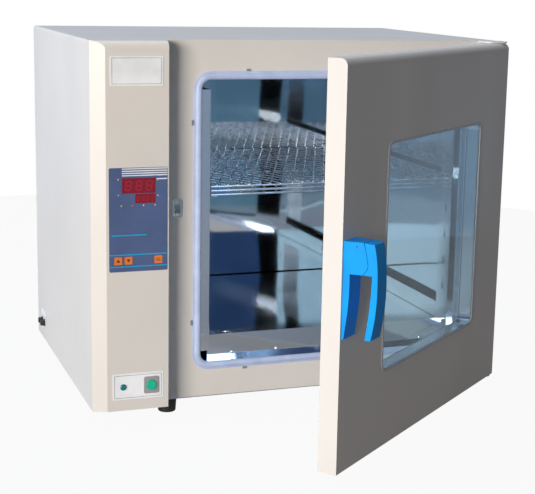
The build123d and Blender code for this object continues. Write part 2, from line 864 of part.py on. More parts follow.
def shelf_mesh():
    """Expanded metal: staggered diamond openings between thin strands, with a plain border."""
    x0, x1, y0, y1 = shelf_bounds()
    z = shelf_wire_heights()[2] + shelf_wire_radius
    pitch_x = (x1 - x0 - 2 * mesh_border) / mesh_columns
    pitch_y = (y1 - y0 - 2 * mesh_border) / mesh_rows
    half_x = pitch_x / 2 - mesh_strand / 2
    half_y = pitch_y / 2 - mesh_strand
    holes = []
    for row in range(2 * mesh_rows - 1):
        y = y0 + mesh_border + pitch_y * (row + 1) / 2
        shift = 0.0 if row % 2 == 0 else pitch_x / 2
        count = mesh_columns if row % 2 == 0 else mesh_columns - 1
        for column in range(count):
            x = x0 + mesh_border + pitch_x * (column + 0.5) + shift
            corners = [(x - half_x, y), (x, y - half_y), (x + half_x, y), (x, y + half_y)]
            holes.append(Wire(Polyline(*[(px, py, z) for px, py in corners], close=True).edges()))
    outline = [(x0, y0), (x1, y0), (x1, y1), (x0, y1)]
    outer = Wire(Polyline(*[(px, py, z) for px, py in outline], close=True).edges())
    return extrude(Face(outer, holes), shelf_mesh_sheet, dir=(0, 0, 1))


def floor_plate_bounds():
    x0 = chamber_left + upright_reach + 0.5
    x1 = chamber_right - upright_reach - 0.5
    return x0, x1, face + floor_plate_from_front, chamber_back - floor_plate_from_back


def riser_screw_places():
    """Screws along the front riser of the floor plate."""
    x0, x1, y0, y1 = floor_plate_bounds()
    outer = (x1 - x0) / 2 - riser_screw_from_end
    inner = outer * riser_screw_spread
    z = chamber_floor + riser_screw_height
    return [(chamber_middle + dx, z) for dx in (-outer, -inner, 0.0, inner, outer)]


def top_screw_places():
    x0, x1, y0, y1 = floor_plate_bounds()
    return [(x, y) for x in (x0 + 42, x1 - 42) for y in (y0 + 14, y1 - 14)]


def floor_plate():
    """The raised plate over the heater: a front riser, a rear leg and a foot flange on each."""
    x0, x1, y0, y1 = floor_plate_bounds()
    z0, z1 = chamber_floor, floor_plate_top
    t = floor_plate_sheet
    outline = [
        (y0, z0), (y0, z1), (y1, z1), (y1, z0), (y1 - 14, z0), (y1 - 14, z0 + t),
        (y1 - t, z0 + t), (y1 - t, z1 - t), (y0 + t, z1 - t), (y0 + t, z0 + t),
        (y0 + 14, z0 + t), (y0 + 14, z0),
    ]
    plate = side_profile(outline, x0, x1)
    for x, z in riser_screw_places():
        plate -= rod((x, y0 - 1, z), (0, 1, 0), 2.0, t + 2)
    for x, y in top_screw_places():
        plate -= rod((x, y, z1 - t - 1), (0, 0, 1), 2.0, t + 2)
    return plate


def floor_plate_screws():
    x0, x1, y0, y1 = floor_plate_bounds()
    screws = [pan_head_screw((x, y0, z), (0, -1, 0), 2.0, 8.0) for x, z in riser_screw_places()]
    screws += [pan_head_screw((x, y, floor_plate_top), (0, 0, 1), 2.0, 8.0) for x, y in top_screw_places()]
    return screws


def heater_element():
    """A sheathed heater bent into a serpentine under the floor plate."""
    x0, x1, y0, y1 = floor_plate_bounds()
    z = chamber_floor + heater_from_floor
    left_x, right_x = x0 + 40, x1 - 40
    runs = 6
    step = (y1 - y0 - 110) / (runs - 1)
    points = []
    for i in range(runs):
        y = y0 + 55 + step * i
        ends = [left_x, right_x] if i % 2 == 0 else [right_x, left_x]
        points += [(ends[0], y, z), (ends[1], y, z)]
    points[0] = (chamber_left + 0.6, points[0][1], z)
    points[-1] = (chamber_left + 0.6, points[-1][1], z)
    path = FilletPolyline(*points, radius=step * 0.45)
    section = Plane(origin=path @ 0, z_dir=path % 0) * Circle(heater_radius)
    return sweep(section, path=path)


def heater_brackets():
    """Bars on the chamber floor that carry the heater."""
    x0, x1, y0, y1 = floor_plate_bounds()
    z1 = chamber_floor + heater_from_floor - heater_radius - 0.3
    bars = []
    for x in (x0 + 110, chamber_middle, x1 - 110):
        foot = block(x - 8, x + 8, y0 + 36, y1 - 36, chamber_floor, chamber_floor + 1.5)
        bars.append(foot + block(x - 1, x + 1, y0 + 36, y1 - 36, chamber_floor + 1.5, z1))
    return bars


# Striker and hinges on the cabinet


def striker_catch():
    """A bright plate with a slot, and a closed pocket behind it for the hook's nose."""
    y0 = face - 1.5
    plate = front_plate(latch_x - 10, latch_x + 10, handle_z - 32, handle_z + 3, y0, face, 4.0)
    pocket = block(latch_x - 8, latch_x + 8, face, face + 19, handle_z - 30.5, handle_z + 1.5)
    pocket -= block(latch_x - 7, latch_x + 7, face - 1, face + 18, handle_z - 29.5, handle_z + 0.5)
    slot = front_plate(latch_x - 6, latch_x + 6, handle_z - 28, handle_z - 7, y0 - 1, face + 1, 2.0)
    return plate + pocket - slot


def hinge_bracket(outer_z, inward):
    """A hinge plate over the door's corner, with its flange on the face and its pin."""
    z_in = outer_z + inward * hinge_plate
    zs = sorted((outer_z, z_in))
    x0 = right - hinge_flange_width - 12
    y0 = pin_y - hinge_pin_from_side
    plate = block(x0, right, y0, face, zs[0], zs[1])
    corners = plate.edges().filter_by(Axis.Z).group_by(Axis.Y)[0]
    plate = fillet(corners, hinge_pin_from_side - 0.5)
    zs = sorted((outer_z, outer_z + inward * hinge_flange_height))
    flange = block(x0, x0 + hinge_flange_width, face - hinge_flange_sheet, face, zs[0], zs[1])
    pin = rod((pin_x, pin_y, outer_z), (0, 0, inward), hinge_pin_radius, hinge_plate + hinge_pin_length)
    bracket = plate + flange + pin
    for x, z in hinge_screw_places(outer_z, inward):
        bracket -= rod((x, face - hinge_flange_sheet - 1, z), (0, 1, 0), 2.5, hinge_flange_sheet + 2)
    return bracket


def hinge_screw_places(outer_z, inward):
    x0 = right - hinge_flange_width - 12
    z = outer_z + inward * (hinge_flange_height - 14)
    return [(x0 + 9, z), (x0 + hinge_flange_width - 9, z)]


def hinge_brackets():
    return [hinge_bracket(top, -1), hinge_bracket(base, 1)]


def hinge_screws():
    """Flat-headed screws, flush in the hinge flanges."""
    screws = []
    for outer_z, inward in ((top, -1), (base, 1)):
        for x, z in hinge_screw_places(outer_z, inward):
            screws.append(rod((x, face - hinge_flange_sheet, z), (0, 1, 0), 2.5, 14.0))
    return screws


# Door, modelled closed


def door_body(inset):
    """The door's outer form, or the same form set in by a thickness, up to its inner face."""
    body = block(door_left + inset, door_right - inset, door_front + inset, door_inner,
                 door_bottom + inset, door_top - inset)
    front_edges = body.edges().group_by(Axis.Y)[0]
    upper = front_edges.filter_by(Axis.X).sort_by(Axis.Z)[-1]
    return fillet(upper, door_top_radius - inset)


def window_plate(grow, y0, y1):
    """A plate of the window's outline, grown by a margin."""
    return front_plate(window_left - grow, window_right + grow, window_bottom - grow, window_top + grow,
                       y0, y1, window_corner_radius + grow)


def hook_slot(y0, y1):
    """The slot that the latch hook swings in."""
    half = hook_slot_width / 2
    return block(latch_x - half, latch_x + half, y0, y1, handle_z - 27, handle_z - 7)


def bush_cut():
    """Round seats for both hinge bushes."""
    length = hinge_pin_length + 4
    upper = rod((pin_x, pin_y, door_top + 1), (0, 0, -1), hinge_bush_radius, length + 1)
    lower = rod((pin_x, pin_y, door_bottom - 1), (0, 0, 1), hinge_bush_radius, length + 1)
    return upper + lower


def door_skin():
    """The outer tray of the door, with the window opening."""
    skin = door_body(0.0) - door_body(sheet)
    skin -= block(door_left + sheet, door_right - sheet, door_inner - sheet - 1, door_inner + 1,
                  door_bottom + sheet, door_top - sheet)
    skin -= window_plate(0.0, door_front - 1, door_front + sheet + 1)
    skin -= hook_slot(door_front - 1, door_front + sheet + 1)
    for z in handle_screw_heights():
        skin -= rod((latch_x, door_front - 1, z), (0, 1, 0), 2.5, sheet + 2)
    return skin - bush_cut()


def door_inner_panel():
    """The bright inner sheet of the door."""
    y0 = door_inner - inner_panel_sheet
    panel = block(door_left + sheet, door_right - sheet, y0, door_inner, door_bottom + sheet, door_top - sheet)
    panel -= window_plate(0.0, y0 - 1, door_inner + 1)
    for z in handle_screw_heights():
        panel -= rod((latch_x, y0 - 1, z), (0, 1, 0), 2.5, inner_panel_sheet + 2)
    return panel - hook_slot(y0 - 1, door_inner + 1)


def door_insulation():
    """The filling between the door's sheets."""
    y1 = door_inner - inner_panel_sheet
    fill = door_body(sheet) - block(door_left, door_right, y1, door_inner + 1, door_bottom, door_top)
    fill -= window_plate(inner_panel_sheet, door_front, door_inner)
    fill -= window_plate(glass_overlap, door_front, door_front + sheet + glass_thickness + inner_panel_sheet)
    fill -= window_plate(glass_overlap, y1 - glass_thickness - inner_panel_sheet, door_inner)
    fill -= hook_slot(door_front, door_inner)
    for z in handle_screw_heights():
        fill -= rod((latch_x, door_front, z), (0, 1, 0), 2.5, door_thickness)
    return fill - bush_cut()


def outer_glass():
    y0 = door_front + sheet
    return window_plate(glass_overlap, y0, y0 + glass_thickness)


def inner_glass():
    y1 = door_inner - inner_panel_sheet
    return window_plate(glass_overlap, y1 - glass_thickness, y1)


def window_jamb():
    """The bright tube between the panes, with a flange behind each."""
    y0 = door_front + sheet + glass_thickness
    y1 = door_inner - inner_panel_sheet - glass_thickness
    t = inner_panel_sheet
    tube = window_plate(t, y0, y1)
    tube += window_plate(glass_overlap, y0, y0 + t)
    tube += window_plate(glass_overlap, y1 - t, y1)
    return tube - window_plate(0.0, y0 - 1, y1 + 1)


def window_trim():
    """The thin lip round the window's edge."""
    lip = front_ring(window_left, window_right, window_bottom, window_top,
                     door_front - 0.8, door_front, 3.5, window_corner_radius)
    sleeve = window_plate(0.0, door_front - 0.8, door_front + sheet)
    sleeve -= window_plate(-1.2, door_front - 2, door_front + sheet + 1)
    return lip + sleeve


def hinge_bushes():
    """Flanged plastic bushes that run on the hinge pins."""
    length = hinge_pin_length + 4
    bore = hinge_pin_radius + hinge_running_clearance
    upper = rod((pin_x, pin_y, door_top), (0, 0, -1), hinge_bush_radius, length)
    upper -= rod((pin_x, pin_y, door_top + 1), (0, 0, -1), bore, hinge_pin_length + 2)
    lower = rod((pin_x, pin_y, door_bottom), (0, 0, 1), hinge_bush_radius, length)
    lower -= rod((pin_x, pin_y, door_bottom - 1), (0, 0, 1), bore, hinge_pin_length + 2)
    return upper, lower


def handle_screw_heights():
    """Heights of the two screws that hold the handle from inside."""
    return handle_z - 34.0, handle_z - 118.0


def handle_seam():
    """Where the fixed part of the handle's head meets the lever, as (reach, height)."""
    return [(34.0, 8.0), (38.0, -5.4), (40.8, -18.3), (42.4, -28.0), (41.3, -33.9), (37.0, -40.3), (33.5, -44.6)]


def handle_taper():
    """The plan form that narrows the handle away from the door."""
    half, nose = handle_width / 2, handle_nose_width / 2
    return plan_profile(
        [
            (latch_x - half, door_front), (latch_x - nose, door_front - handle_nose_reach - 1),
            (latch_x + nose, door_front - handle_nose_reach - 1), (latch_x + half, door_front),
        ],
        base, top,
    )


def handle_outline(start, spans):
    """A face of straight lines and splines through (reach, height) points, in the handle's mid plane."""
    x = latch_x - handle_width / 2 - 1
    place = [[(x, door_front - reach, handle_z + rise) for reach, rise in span] for span in spans]
    edges = []
    here = (x, door_front - start[0], handle_z + start[1])
    for points in place:
        if len(points) == 1:
            edges.append(Line(here, points[0]))
        else:
            edges.append(Spline(here, *points))
        here = points[-1]
    return extrude(make_face(Wire(edges)), handle_width + 2, dir=(1, 0, 0))


def handle_base():
    """The fixed half: the head's cheeks and the plate that runs down the door."""
    seam = handle_seam()
    form = handle_outline(
        (0.0, 7.5),
        [[seam[0]], seam[1:4], seam[4:], [(11.5, -45.0)],
         [(11.4, -80.0), (9.3, -110.0), (6.6, -132.0), (4.0, -154.0)], [(0.0, -154.0)], [(0.0, 7.5)]],
    )
    form &= handle_taper()
    half = handle_slot_width / 2
    form -= block(latch_x - half, latch_x + half, door_front - 60, door_front - 14, handle_z - 46, handle_z + 4.5)
    form -= hook_slot(door_front - 20, door_front + 1)
    form -= rod((latch_x - 30, door_front - handle_pin_reach, handle_z), (1, 0, 0), handle_pin_radius, 60)
    for z in handle_screw_heights():
        form -= rod((latch_x, door_front + 1, z), (0, -1, 0), 2.5, 8.0)
    return form


def handle_lever():
    """The moving half: the outer head, the curved grip and the tongue that turns on the pin."""
    gap = 0.6
    seam = [(reach + gap, rise) for reach, rise in handle_seam()]
    seam[0] = (seam[0][0] + 0.6, 7.9)
    form = handle_outline(
        seam[0],
        [[(53.0, 6.5)], [(57.6, -16.0), (59.8, -45.0), (60.2, -70.0), (56.6, -118.0), (50.8, -150.8)],
         [(40.7, -150.8)], [(46.5, -104.0), (49.0, -75.0), (49.9, -45.0)],
         [seam[6]], seam[5:3:-1] + [seam[3]], [seam[2], seam[1], seam[0]]],
    )
    form &= handle_taper()
    half = handle_slot_width / 2 - handle_side_clearance
    reach, rise = zip(*[(24.0, -6.0), (20.0, -2.0), (20.0, 2.0), (24.0, 4.0), (27.0, 2.5), (39.0, 2.0),
                        (46.0, -25.0), (38.0, -38.0)])
    tongue = side_profile([(door_front - r, handle_z + h) for r, h in zip(reach, rise)],
                          latch_x - half, latch_x + half)
    form += tongue
    bore = handle_pin_radius + hinge_running_clearance
    form -= rod((latch_x - 30, door_front - handle_pin_reach, handle_z), (1, 0, 0), bore, 60)
    return form - hook_root()


def hook_root():
    """The part of the hook that is moulded into the lever's tongue."""
    half = hook_width / 2
    points = [(24.0, -9.0), (34.0, -9.0), (34.0, -15.0), (24.0, -15.0)]
    return side_profile([(door_front - r, handle_z + h) for r, h in points], latch_x - half, latch_x + half)


def latch_hook():
    """The steel hook: an arm through the door and a ramped nose behind the striker."""
    half = hook_width / 2
    nose = door_thickness + door_gap + 2.5
    upper = -9.0
    lower = upper - hook_arm_height
    points = [
        (34.0, upper), (34.0, lower), (-nose - 6, lower), (-nose - 6, lower + 3),
        (-nose - 3, -3.0), (-nose, -3.0), (-nose, upper),
    ]
    return side_profile([(door_front - r, handle_z + h) for r, h in points], latch_x - half, latch_x + half)


def handle_pin():
    """The steel pin that the lever turns on."""
    length = handle_width - 9
    start = (latch_x - length / 2, door_front - handle_pin_reach, handle_z)
    return rod(start, (1, 0, 0), handle_pin_radius, length)


def handle_screws():
    """Screws from the inner panel into the handle's base."""
    return [
        rod((latch_x, door_inner, z), (0, 1, 0), 4.5, 2.2)
        + rod((latch_x, door_inner, z), (0, -1, 0), 2.5, door_thickness + 7.0)
        for z in handle_screw_heights()
    ]


# Write the sub-parts of the cabinet

write("outer_shell", outer_shell())
write("front_frame", front_frame())
write("base_pan", base_pan())
write("back_cover", back_cover())
write("rear_screws", *rear_screws())
write("cord_gland", cord_gland())
write("rubber_feet", *rubber_feet())
write("foot_screws", *foot_screws())
write("control_column", control_column())
write("name_plate", name_plate())
write("control_overlay", control_overlay())
write("display_windows", *display_windows())
write("indicator_lights", *indicator_lights())
write("control_board", control_board())
write("digit_modules", *digit_modules())
write("key_switches", *key_switches())
write("switch_plate", switch_plate())
write("power_switch", power_switch())
write("pilot_lamp", pilot_lamp())
write("fuse_holders", *fuse_holders())
write("fuse_plate", fuse_plate())
write("chamber_liner", chamber_liner())
write("insulation", insulation())
write("compartment_bulkhead", compartment_bulkhead())
write("electronics_tray", electronics_tray())
write("transformer", *transformer())
write("relay_block", relay_block())
write("temperature_probe", temperature_probe())
write("opening_gasket", opening_gasket())
write("gasket_clips", *gasket_clips())
write("shelf_uprights", *shelf_uprights())
write("shelf_rails", *shelf_rails())
write("floor_plate", floor_plate())
write("floor_plate_screws", *floor_plate_screws())
write("heater_element", heater_element())
write("heater_brackets", *heater_brackets())
write("striker_catch", striker_catch())
write("hinge_brackets", *hinge_brackets())
write("hinge_screws", *hinge_screws())

# Write the pieces that move on the cabinet

write("power_button", power_button())
for key_name, (key_x, key_z) in key_places().items():
    write(f"key_{key_name}", key_cap(key_x, key_z))
write("shelf_frame", shelf_frame())
write("shelf_mesh", shelf_mesh())

# Write the door at rest, turned open about its pins

write("door_skin", swing(door_skin()))
write("door_inner_panel", swing(door_inner_panel()))
write("door_insulation", swing(door_insulation()))
write("outer_glass", swing(outer_glass()))
write("inner_glass", swing(inner_glass()))
write("window_jamb", swing(window_jamb()))
write("window_trim", swing(window_trim()))
write("hinge_bushes", *[swing(bush) for bush in hinge_bushes()])
write("handle_base", swing(handle_base()))
write("handle_pin", swing(handle_pin()))
write("handle_screws", *[swing(screw) for screw in handle_screws()])
write("handle_lever", swing(handle_lever()))
write("latch_hook", swing(latch_hook()))
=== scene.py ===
"""Looks of a bench laboratory incubator with a glazed door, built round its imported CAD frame."""
import math

import bmesh
import bpy
from mathutils import Matrix, Vector


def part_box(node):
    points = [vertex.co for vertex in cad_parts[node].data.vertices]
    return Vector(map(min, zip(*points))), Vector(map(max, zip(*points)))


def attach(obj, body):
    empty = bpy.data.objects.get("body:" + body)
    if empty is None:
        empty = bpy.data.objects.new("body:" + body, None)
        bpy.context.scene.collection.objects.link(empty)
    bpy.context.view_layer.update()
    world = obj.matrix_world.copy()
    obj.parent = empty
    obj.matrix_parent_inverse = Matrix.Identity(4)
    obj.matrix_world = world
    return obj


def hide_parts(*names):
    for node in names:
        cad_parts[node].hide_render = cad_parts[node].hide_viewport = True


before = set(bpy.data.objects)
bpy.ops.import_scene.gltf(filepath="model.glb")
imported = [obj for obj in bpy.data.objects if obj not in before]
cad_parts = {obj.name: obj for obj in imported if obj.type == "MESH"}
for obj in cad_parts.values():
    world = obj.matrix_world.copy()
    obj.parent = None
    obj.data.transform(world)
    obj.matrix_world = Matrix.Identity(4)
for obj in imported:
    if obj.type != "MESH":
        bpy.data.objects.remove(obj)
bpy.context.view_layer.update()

# Camera, fitted to the photograph's edges

PHOTO_WIDTH = 535
PHOTO_HEIGHT = 494
FOCAL_PIXELS = 1327.28
CAMERA_PLACE = (-0.63327, -2.4086, 0.84002)
CAMERA_YAW = math.radians(20.33)
CAMERA_PITCH = math.radians(11.45)
CAMERA_ROLL = math.radians(1.24)
IMAGE_CENTRE = (294.67, 243.11)
SENSOR_WIDTH = 36.0

# Bevel widths of the sheet pieces and mouldings

SHEET_BEVEL = 0.0011
MOULDING_BEVEL = 0.0016
TRIM_BEVEL = 0.0006

# Floor, and the room that the mirrors and the shade see

FLOOR_MIDDLE = (0.3, 0.6, 0.0)
FLOOR_RADIUS = 2.0
FLOOR_WHITENESS = 0.94
FLOOR_IN_MIRRORS = 0.18
ROOM_LOW = (0.13, 0.20, 0.25)
ROOM_HIGH = (0.05, 0.085, 0.19)
ROOM_REAR = (0.36, 0.42, 0.52)
ROOM_FILL = (0.05, 0.046, 0.046)
ROOM_WINDOW = (1.25, 1.28, 1.26)

# Expanded metal of the shelf, its diamonds lying front to back

DIAMOND_LENGTH = 0.055
DIAMOND_WIDTH = 0.0215
STRAND_WIDTH = 0.0032
STRAND_THICKNESS = 0.0012
STRAND_TILT = math.radians(38)

# Soft seal round the opening

GASKET_WIDTH = 0.016
GASKET_CORNER = 0.018

# Ink on the control panel, in metres from the overlay's own edges

INK_DEPTH = 0.00012
RIGHT_MARGIN = 0.0004
STRIPE_TOP = 0.0011
STRIPE_HEIGHT = 0.0021
STRIPE_PITCH = 0.0041
STRIPE_LEFT = 0.024
SHORT_STRIPE_LEFT = 0.0887
SHORT_STRIPE_DROP = 0.003
CYAN_RULE = (0.005, 0.070, 0.0670, 0.0692)
CYAN_LINE_LEFT = 0.001
CYAN_LINE_HEIGHTS = (0.0308, 0.0086)
CYAN_LINE_WIDTH = 0.0019

# Rows of lit figures: how many, left, drop from the top, pitch, width and height

FIGURE_ROWS = [
    (3, 0.0295, 0.0425, 0.0195, 0.0115, 0.0185),
    (4, 0.0515, 0.0620, 0.0087, 0.0052, 0.0095),
]
FIGURE_BAR = 0.16
FIGURE_LEAN = 0.10

# Marks on the keys, and the line round each plate

ARROW_HALF_WIDTH = 0.0034
ARROW_FOOT = 0.0026
ARROW_TIP = 0.0034
SET_LINE_PITCH = 0.0022
SET_LINE_HALF_WIDTH = 0.0042
SET_LINE_HALF_HEIGHT = 0.0004
PLATE_LINE_INSET = 0.003
PLATE_LINE_WIDTH = 0.0007

# Indicator lights, from left to right and top to bottom

INDICATOR_COLOURS = [
    "amber_dot", "green_dot", "green_dot", "amber_dot",
    "green_dot", "red_dot", "amber_dot", "green_dot",
]

# Screw places, as distances from the edges of what they hold

RISER_SCREW_END = 0.052
RISER_SCREW_RISE = 0.009
RISER_SCREW_SHARES = (-1.0, -0.542, 0.0, 0.542, 1.0)
TOP_SCREW_SIDE = 0.042
TOP_SCREW_END = 0.014
REAR_SCREW_INSET = 0.011
REAR_SCREW_LOW = 0.045
REAR_MIDDLE_SCREW_LOW = 0.0075

# Lights: place, what each faces, width, height, power and colour

LIGHTS = {
    "key": ((-4.07, -4.0, 1.31), (0.25, 0.05, 0.35), 2.8, 2.0, 340.0, (1.0, 0.96, 0.91)),
    "left_window": ((-3.4, 0.9, 1.9), (-0.1, 0.25, 0.35), 2.4, 2.0, 80.0, (0.57, 0.74, 1.0)),
    "ceiling": ((0.3, 0.7, 3.6), (0.3, 0.3, 0.4), 3.2, 3.2, 56.0, (0.82, 0.90, 1.0)),
}


def corners(node):
    """Lowest and highest corner of a CAD node."""
    low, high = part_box(node)
    return low, high


# Node helpers


def add_node(tree, kind, inputs=None, **settings):
    """A node with its settings, and its inputs given as values or as other nodes' outputs."""
    node = tree.nodes.new(kind)
    for name, value in settings.items():
        setattr(node, name, value)
    for socket, value in (inputs or {}).items():
        if isinstance(value, bpy.types.NodeSocket):
            tree.links.new(value, node.inputs[socket])
        else:
            node.inputs[socket].default_value = value
    return node


def start_material(name):
    """An empty node material with its shader."""
    material = bpy.data.materials.new(name)
    material.use_nodes = True
    tree = material.node_tree
    tree.nodes.clear()
    shader = tree.nodes.new("ShaderNodeBsdfPrincipled")
    output = tree.nodes.new("ShaderNodeOutputMaterial")
    tree.links.new(shader.outputs["BSDF"], output.inputs["Surface"])
    return material, tree, shader


def object_space(tree, scale=(1.0, 1.0, 1.0), turn=(0.0, 0.0, 0.0)):
    """Object coordinates, stretched or turned."""
    place = add_node(tree, "ShaderNodeTexCoord")
    mapping = add_node(tree, "ShaderNodeMapping",
                       {"Vector": place.outputs["Object"], "Scale": scale, "Rotation": turn})
    return mapping.outputs["Vector"]


def noise(tree, vector, scale, detail=2.0, roughness=0.5):
    """A noise pattern's value."""
    node = add_node(tree, "ShaderNodeTexNoise",
                    {"Vector": vector, "Scale": scale, "Detail": detail, "Roughness": roughness})
    return node.outputs["Fac"]


def spread(tree, value, low, high, from_low=0.3, from_high=0.7):
    """A pattern's value turned into a range of numbers."""
    node = add_node(tree, "ShaderNodeMapRange", {
        "Value": value, "From Min": from_low, "From Max": from_high,
        "To Min": low, "To Max": high})
    return node.outputs["Result"]


def two_colours(tree, value, first, second, low=0.35, high=0.65):
    """A pattern's value turned into a colour between two."""
    ramp = add_node(tree, "ShaderNodeValToRGB", {"Fac": value})
    ramp.color_ramp.elements[0].position = low
    ramp.color_ramp.elements[0].color = (*first, 1.0)
    ramp.color_ramp.elements[1].position = high
    ramp.color_ramp.elements[1].color = (*second, 1.0)
    return ramp.outputs["Color"]


def bump(tree, height, depth, strength=1.0, below=None):
    """A relief of a given depth in metres."""
    inputs = {"Height": height, "Distance": depth, "Strength": strength}
    if below is not None:
        inputs["Normal"] = below
    return add_node(tree, "ShaderNodeBump", inputs).outputs["Normal"]


def shade(colour, factor):
    """A colour made darker or lighter."""
    return tuple(min(1.0, channel * factor) for channel in colour)


# Finishes


def powder_coat(name, colour, roughness=0.4):
    """Powder-coated steel: fine orange peel, faint cloudiness and uneven gloss."""
    material, tree, shader = start_material(name)
    place = object_space(tree)
    clouds = noise(tree, place, 3.2, 3.0)
    tree.links.new(two_colours(tree, clouds, shade(colour, 0.965), shade(colour, 1.02)),
                   shader.inputs["Base Color"])
    smears = noise(tree, object_space(tree, (1.0, 1.0, 0.35)), 9.0, 4.0)
    tree.links.new(spread(tree, smears, roughness - 0.05, roughness + 0.07), shader.inputs["Roughness"])
    peel = noise(tree, place, 520.0, 2.0)
    ripple = noise(tree, place, 26.0, 1.0)
    relief = bump(tree, ripple, 0.0003, 0.25)
    tree.links.new(bump(tree, peel, 0.00006, 0.6, relief), shader.inputs["Normal"])
    shader.inputs["Specular IOR Level"].default_value = 0.5
    shader.inputs["Coat Weight"].default_value = 0.12
    shader.inputs["Coat Roughness"].default_value = 0.25
    return material


def mirror_sheet(name, colour, roughness, waviness, grain=(1.0, 1.0, 60.0)):
    """Polished stainless sheet: slow waves, faint rolling grain and fine scratches."""
    material, tree, shader = start_material(name)
    place = object_space(tree)
    tone = noise(tree, place, 4.0, 2.0)
    tree.links.new(two_colours(tree, tone, shade(colour, 0.93), colour), shader.inputs["Base Color"])
    shader.inputs["Metallic"].default_value = 1.0
    lines = noise(tree, object_space(tree, grain), 40.0, 3.0, 0.7)
    tree.links.new(spread(tree, lines, roughness * 0.6, roughness * 1.6), shader.inputs["Roughness"])
    waves = noise(tree, place, 3.3, 1.0, 0.4)
    dimples = noise(tree, place, 11.0, 1.0, 0.4)
    relief = bump(tree, waves, waviness, 1.0)
    relief = bump(tree, dimples, waviness * 0.06, 1.0, relief)
    tree.links.new(bump(tree, lines, 0.000004, 0.5, relief), shader.inputs["Normal"])
    return material


def bright_wire(name, colour=(0.86, 0.88, 0.91), roughness=0.14, scratch=0.00002):
    """Electropolished wire and small turned parts."""
    material, tree, shader = start_material(name)
    place = object_space(tree)
    tone = noise(tree, place, 60.0, 2.0)
    tree.links.new(two_colours(tree, tone, shade(colour, 0.82), colour), shader.inputs["Base Color"])
    shader.inputs["Metallic"].default_value = 1.0
    tree.links.new(spread(tree, tone, roughness * 0.7, roughness * 1.5), shader.inputs["Roughness"])
    scratches = noise(tree, object_space(tree, (1.0, 30.0, 1.0)), 90.0, 2.0)
    tree.links.new(bump(tree, scratches, scratch, 0.5), shader.inputs["Normal"])
    return material


def zinc_sheet(name):
    """Galvanised sheet with its spangle."""
    material, tree, shader = start_material(name)
    cells = add_node(tree, "ShaderNodeTexVoronoi", {"Vector": object_space(tree), "Scale": 60.0})
    tone = add_node(tree, "ShaderNodeSeparateColor", {"Color": cells.outputs["Color"]})
    tree.links.new(two_colours(tree, tone.outputs[0], (0.42, 0.44, 0.46), (0.60, 0.62, 0.64), 0.0, 1.0),
                   shader.inputs["Base Color"])
    shader.inputs["Metallic"].default_value = 0.85
    tree.links.new(spread(tree, tone.outputs[1], 0.32, 0.5, 0.0, 1.0), shader.inputs["Roughness"])
    tree.links.new(bump(tree, tone.outputs[2], 0.00003, 0.5), shader.inputs["Normal"])
    return material


def pane(name, tint):
    """Clear float glass with a faint tint and a trace of haze."""
    material, tree, shader = start_material(name)
    place = object_space(tree)
    haze = noise(tree, place, 7.0, 3.0)
    tree.links.new(two_colours(tree, haze, shade(tint, 0.98), tint), shader.inputs["Base Color"])
    tree.links.new(spread(tree, haze, 0.0, 0.02), shader.inputs["Roughness"])
    shader.inputs["Transmission Weight"].default_value = 1.0
    shader.inputs["IOR"].default_value = 1.45
    return material


def moulded_plastic(name, colour, roughness=0.35, grain=900.0, depth=0.00004, coat=0.0, gloss=0.5):
    """Moulded plastic with a fine spark-eroded grain."""
    material, tree, shader = start_material(name)
    place = object_space(tree)
    tone = noise(tree, place, 22.0, 2.0)
    tree.links.new(two_colours(tree, tone, shade(colour, 0.93), shade(colour, 1.04)),
                   shader.inputs["Base Color"])
    tree.links.new(spread(tree, tone, roughness - 0.05, roughness + 0.06), shader.inputs["Roughness"])
    tree.links.new(bump(tree, noise(tree, place, grain, 2.0), depth, 0.5), shader.inputs["Normal"])
    shader.inputs["Specular IOR Level"].default_value = gloss
    shader.inputs["Coat Weight"].default_value = coat
    shader.inputs["Coat Roughness"].default_value = 0.12
    return material


def soft_rubber(name, colour, roughness=0.6):
    """Rubber or silicone with a dusty, slightly uneven skin."""
    material, tree, shader = start_material(name)
    place = object_space(tree)
    dust = noise(tree, place, 35.0, 4.0)
    tree.links.new(two_colours(tree, dust, shade(colour, 0.92), shade(colour, 1.06)),
                   shader.inputs["Base Color"])
    tree.links.new(spread(tree, dust, roughness - 0.08, roughness + 0.08), shader.inputs["Roughness"])
    tree.links.new(bump(tree, noise(tree, place, 420.0, 2.0), 0.00008, 0.5), shader.inputs["Normal"])
    shader.inputs["Sheen Weight"].default_value = 0.15
    return material


def tinted_lens(name, colour, glow=0.0, roughness=0.12):
    """A tinted lens with moulded facets behind its face, lit from behind where it glows."""
    material, tree, shader = start_material(name)
    place = object_space(tree)
    facets = add_node(tree, "ShaderNodeTexVoronoi", {"Vector": place, "Scale": 620.0})
    depth = facets.outputs["Distance"]
    tree.links.new(two_colours(tree, depth, shade(colour, 0.75), shade(colour, 1.2), 0.0, 0.8),
                   shader.inputs["Base Color"])
    tree.links.new(spread(tree, noise(tree, place, 80.0), roughness - 0.04, roughness + 0.05),
                   shader.inputs["Roughness"])
    shader.inputs["Emission Color"].default_value = (*colour, 1.0)
    shader.inputs["Emission Strength"].default_value = glow
    shader.inputs["Coat Weight"].default_value = 0.6
    return material


def wool(name):
    """Mineral wool: layered, matted fibres."""
    material, tree, shader = start_material(name)
    fibres = noise(tree, object_space(tree, (1.0, 1.0, 7.0)), 120.0, 6.0, 0.7)
    tree.links.new(two_colours(tree, fibres, (0.55, 0.46, 0.20), (0.85, 0.76, 0.42)),
                   shader.inputs["Base Color"])
    tree.links.new(spread(tree, fibres, 0.85, 0.98), shader.inputs["Roughness"])
    tree.links.new(bump(tree, fibres, 0.001, 0.8), shader.inputs["Normal"])
    return material


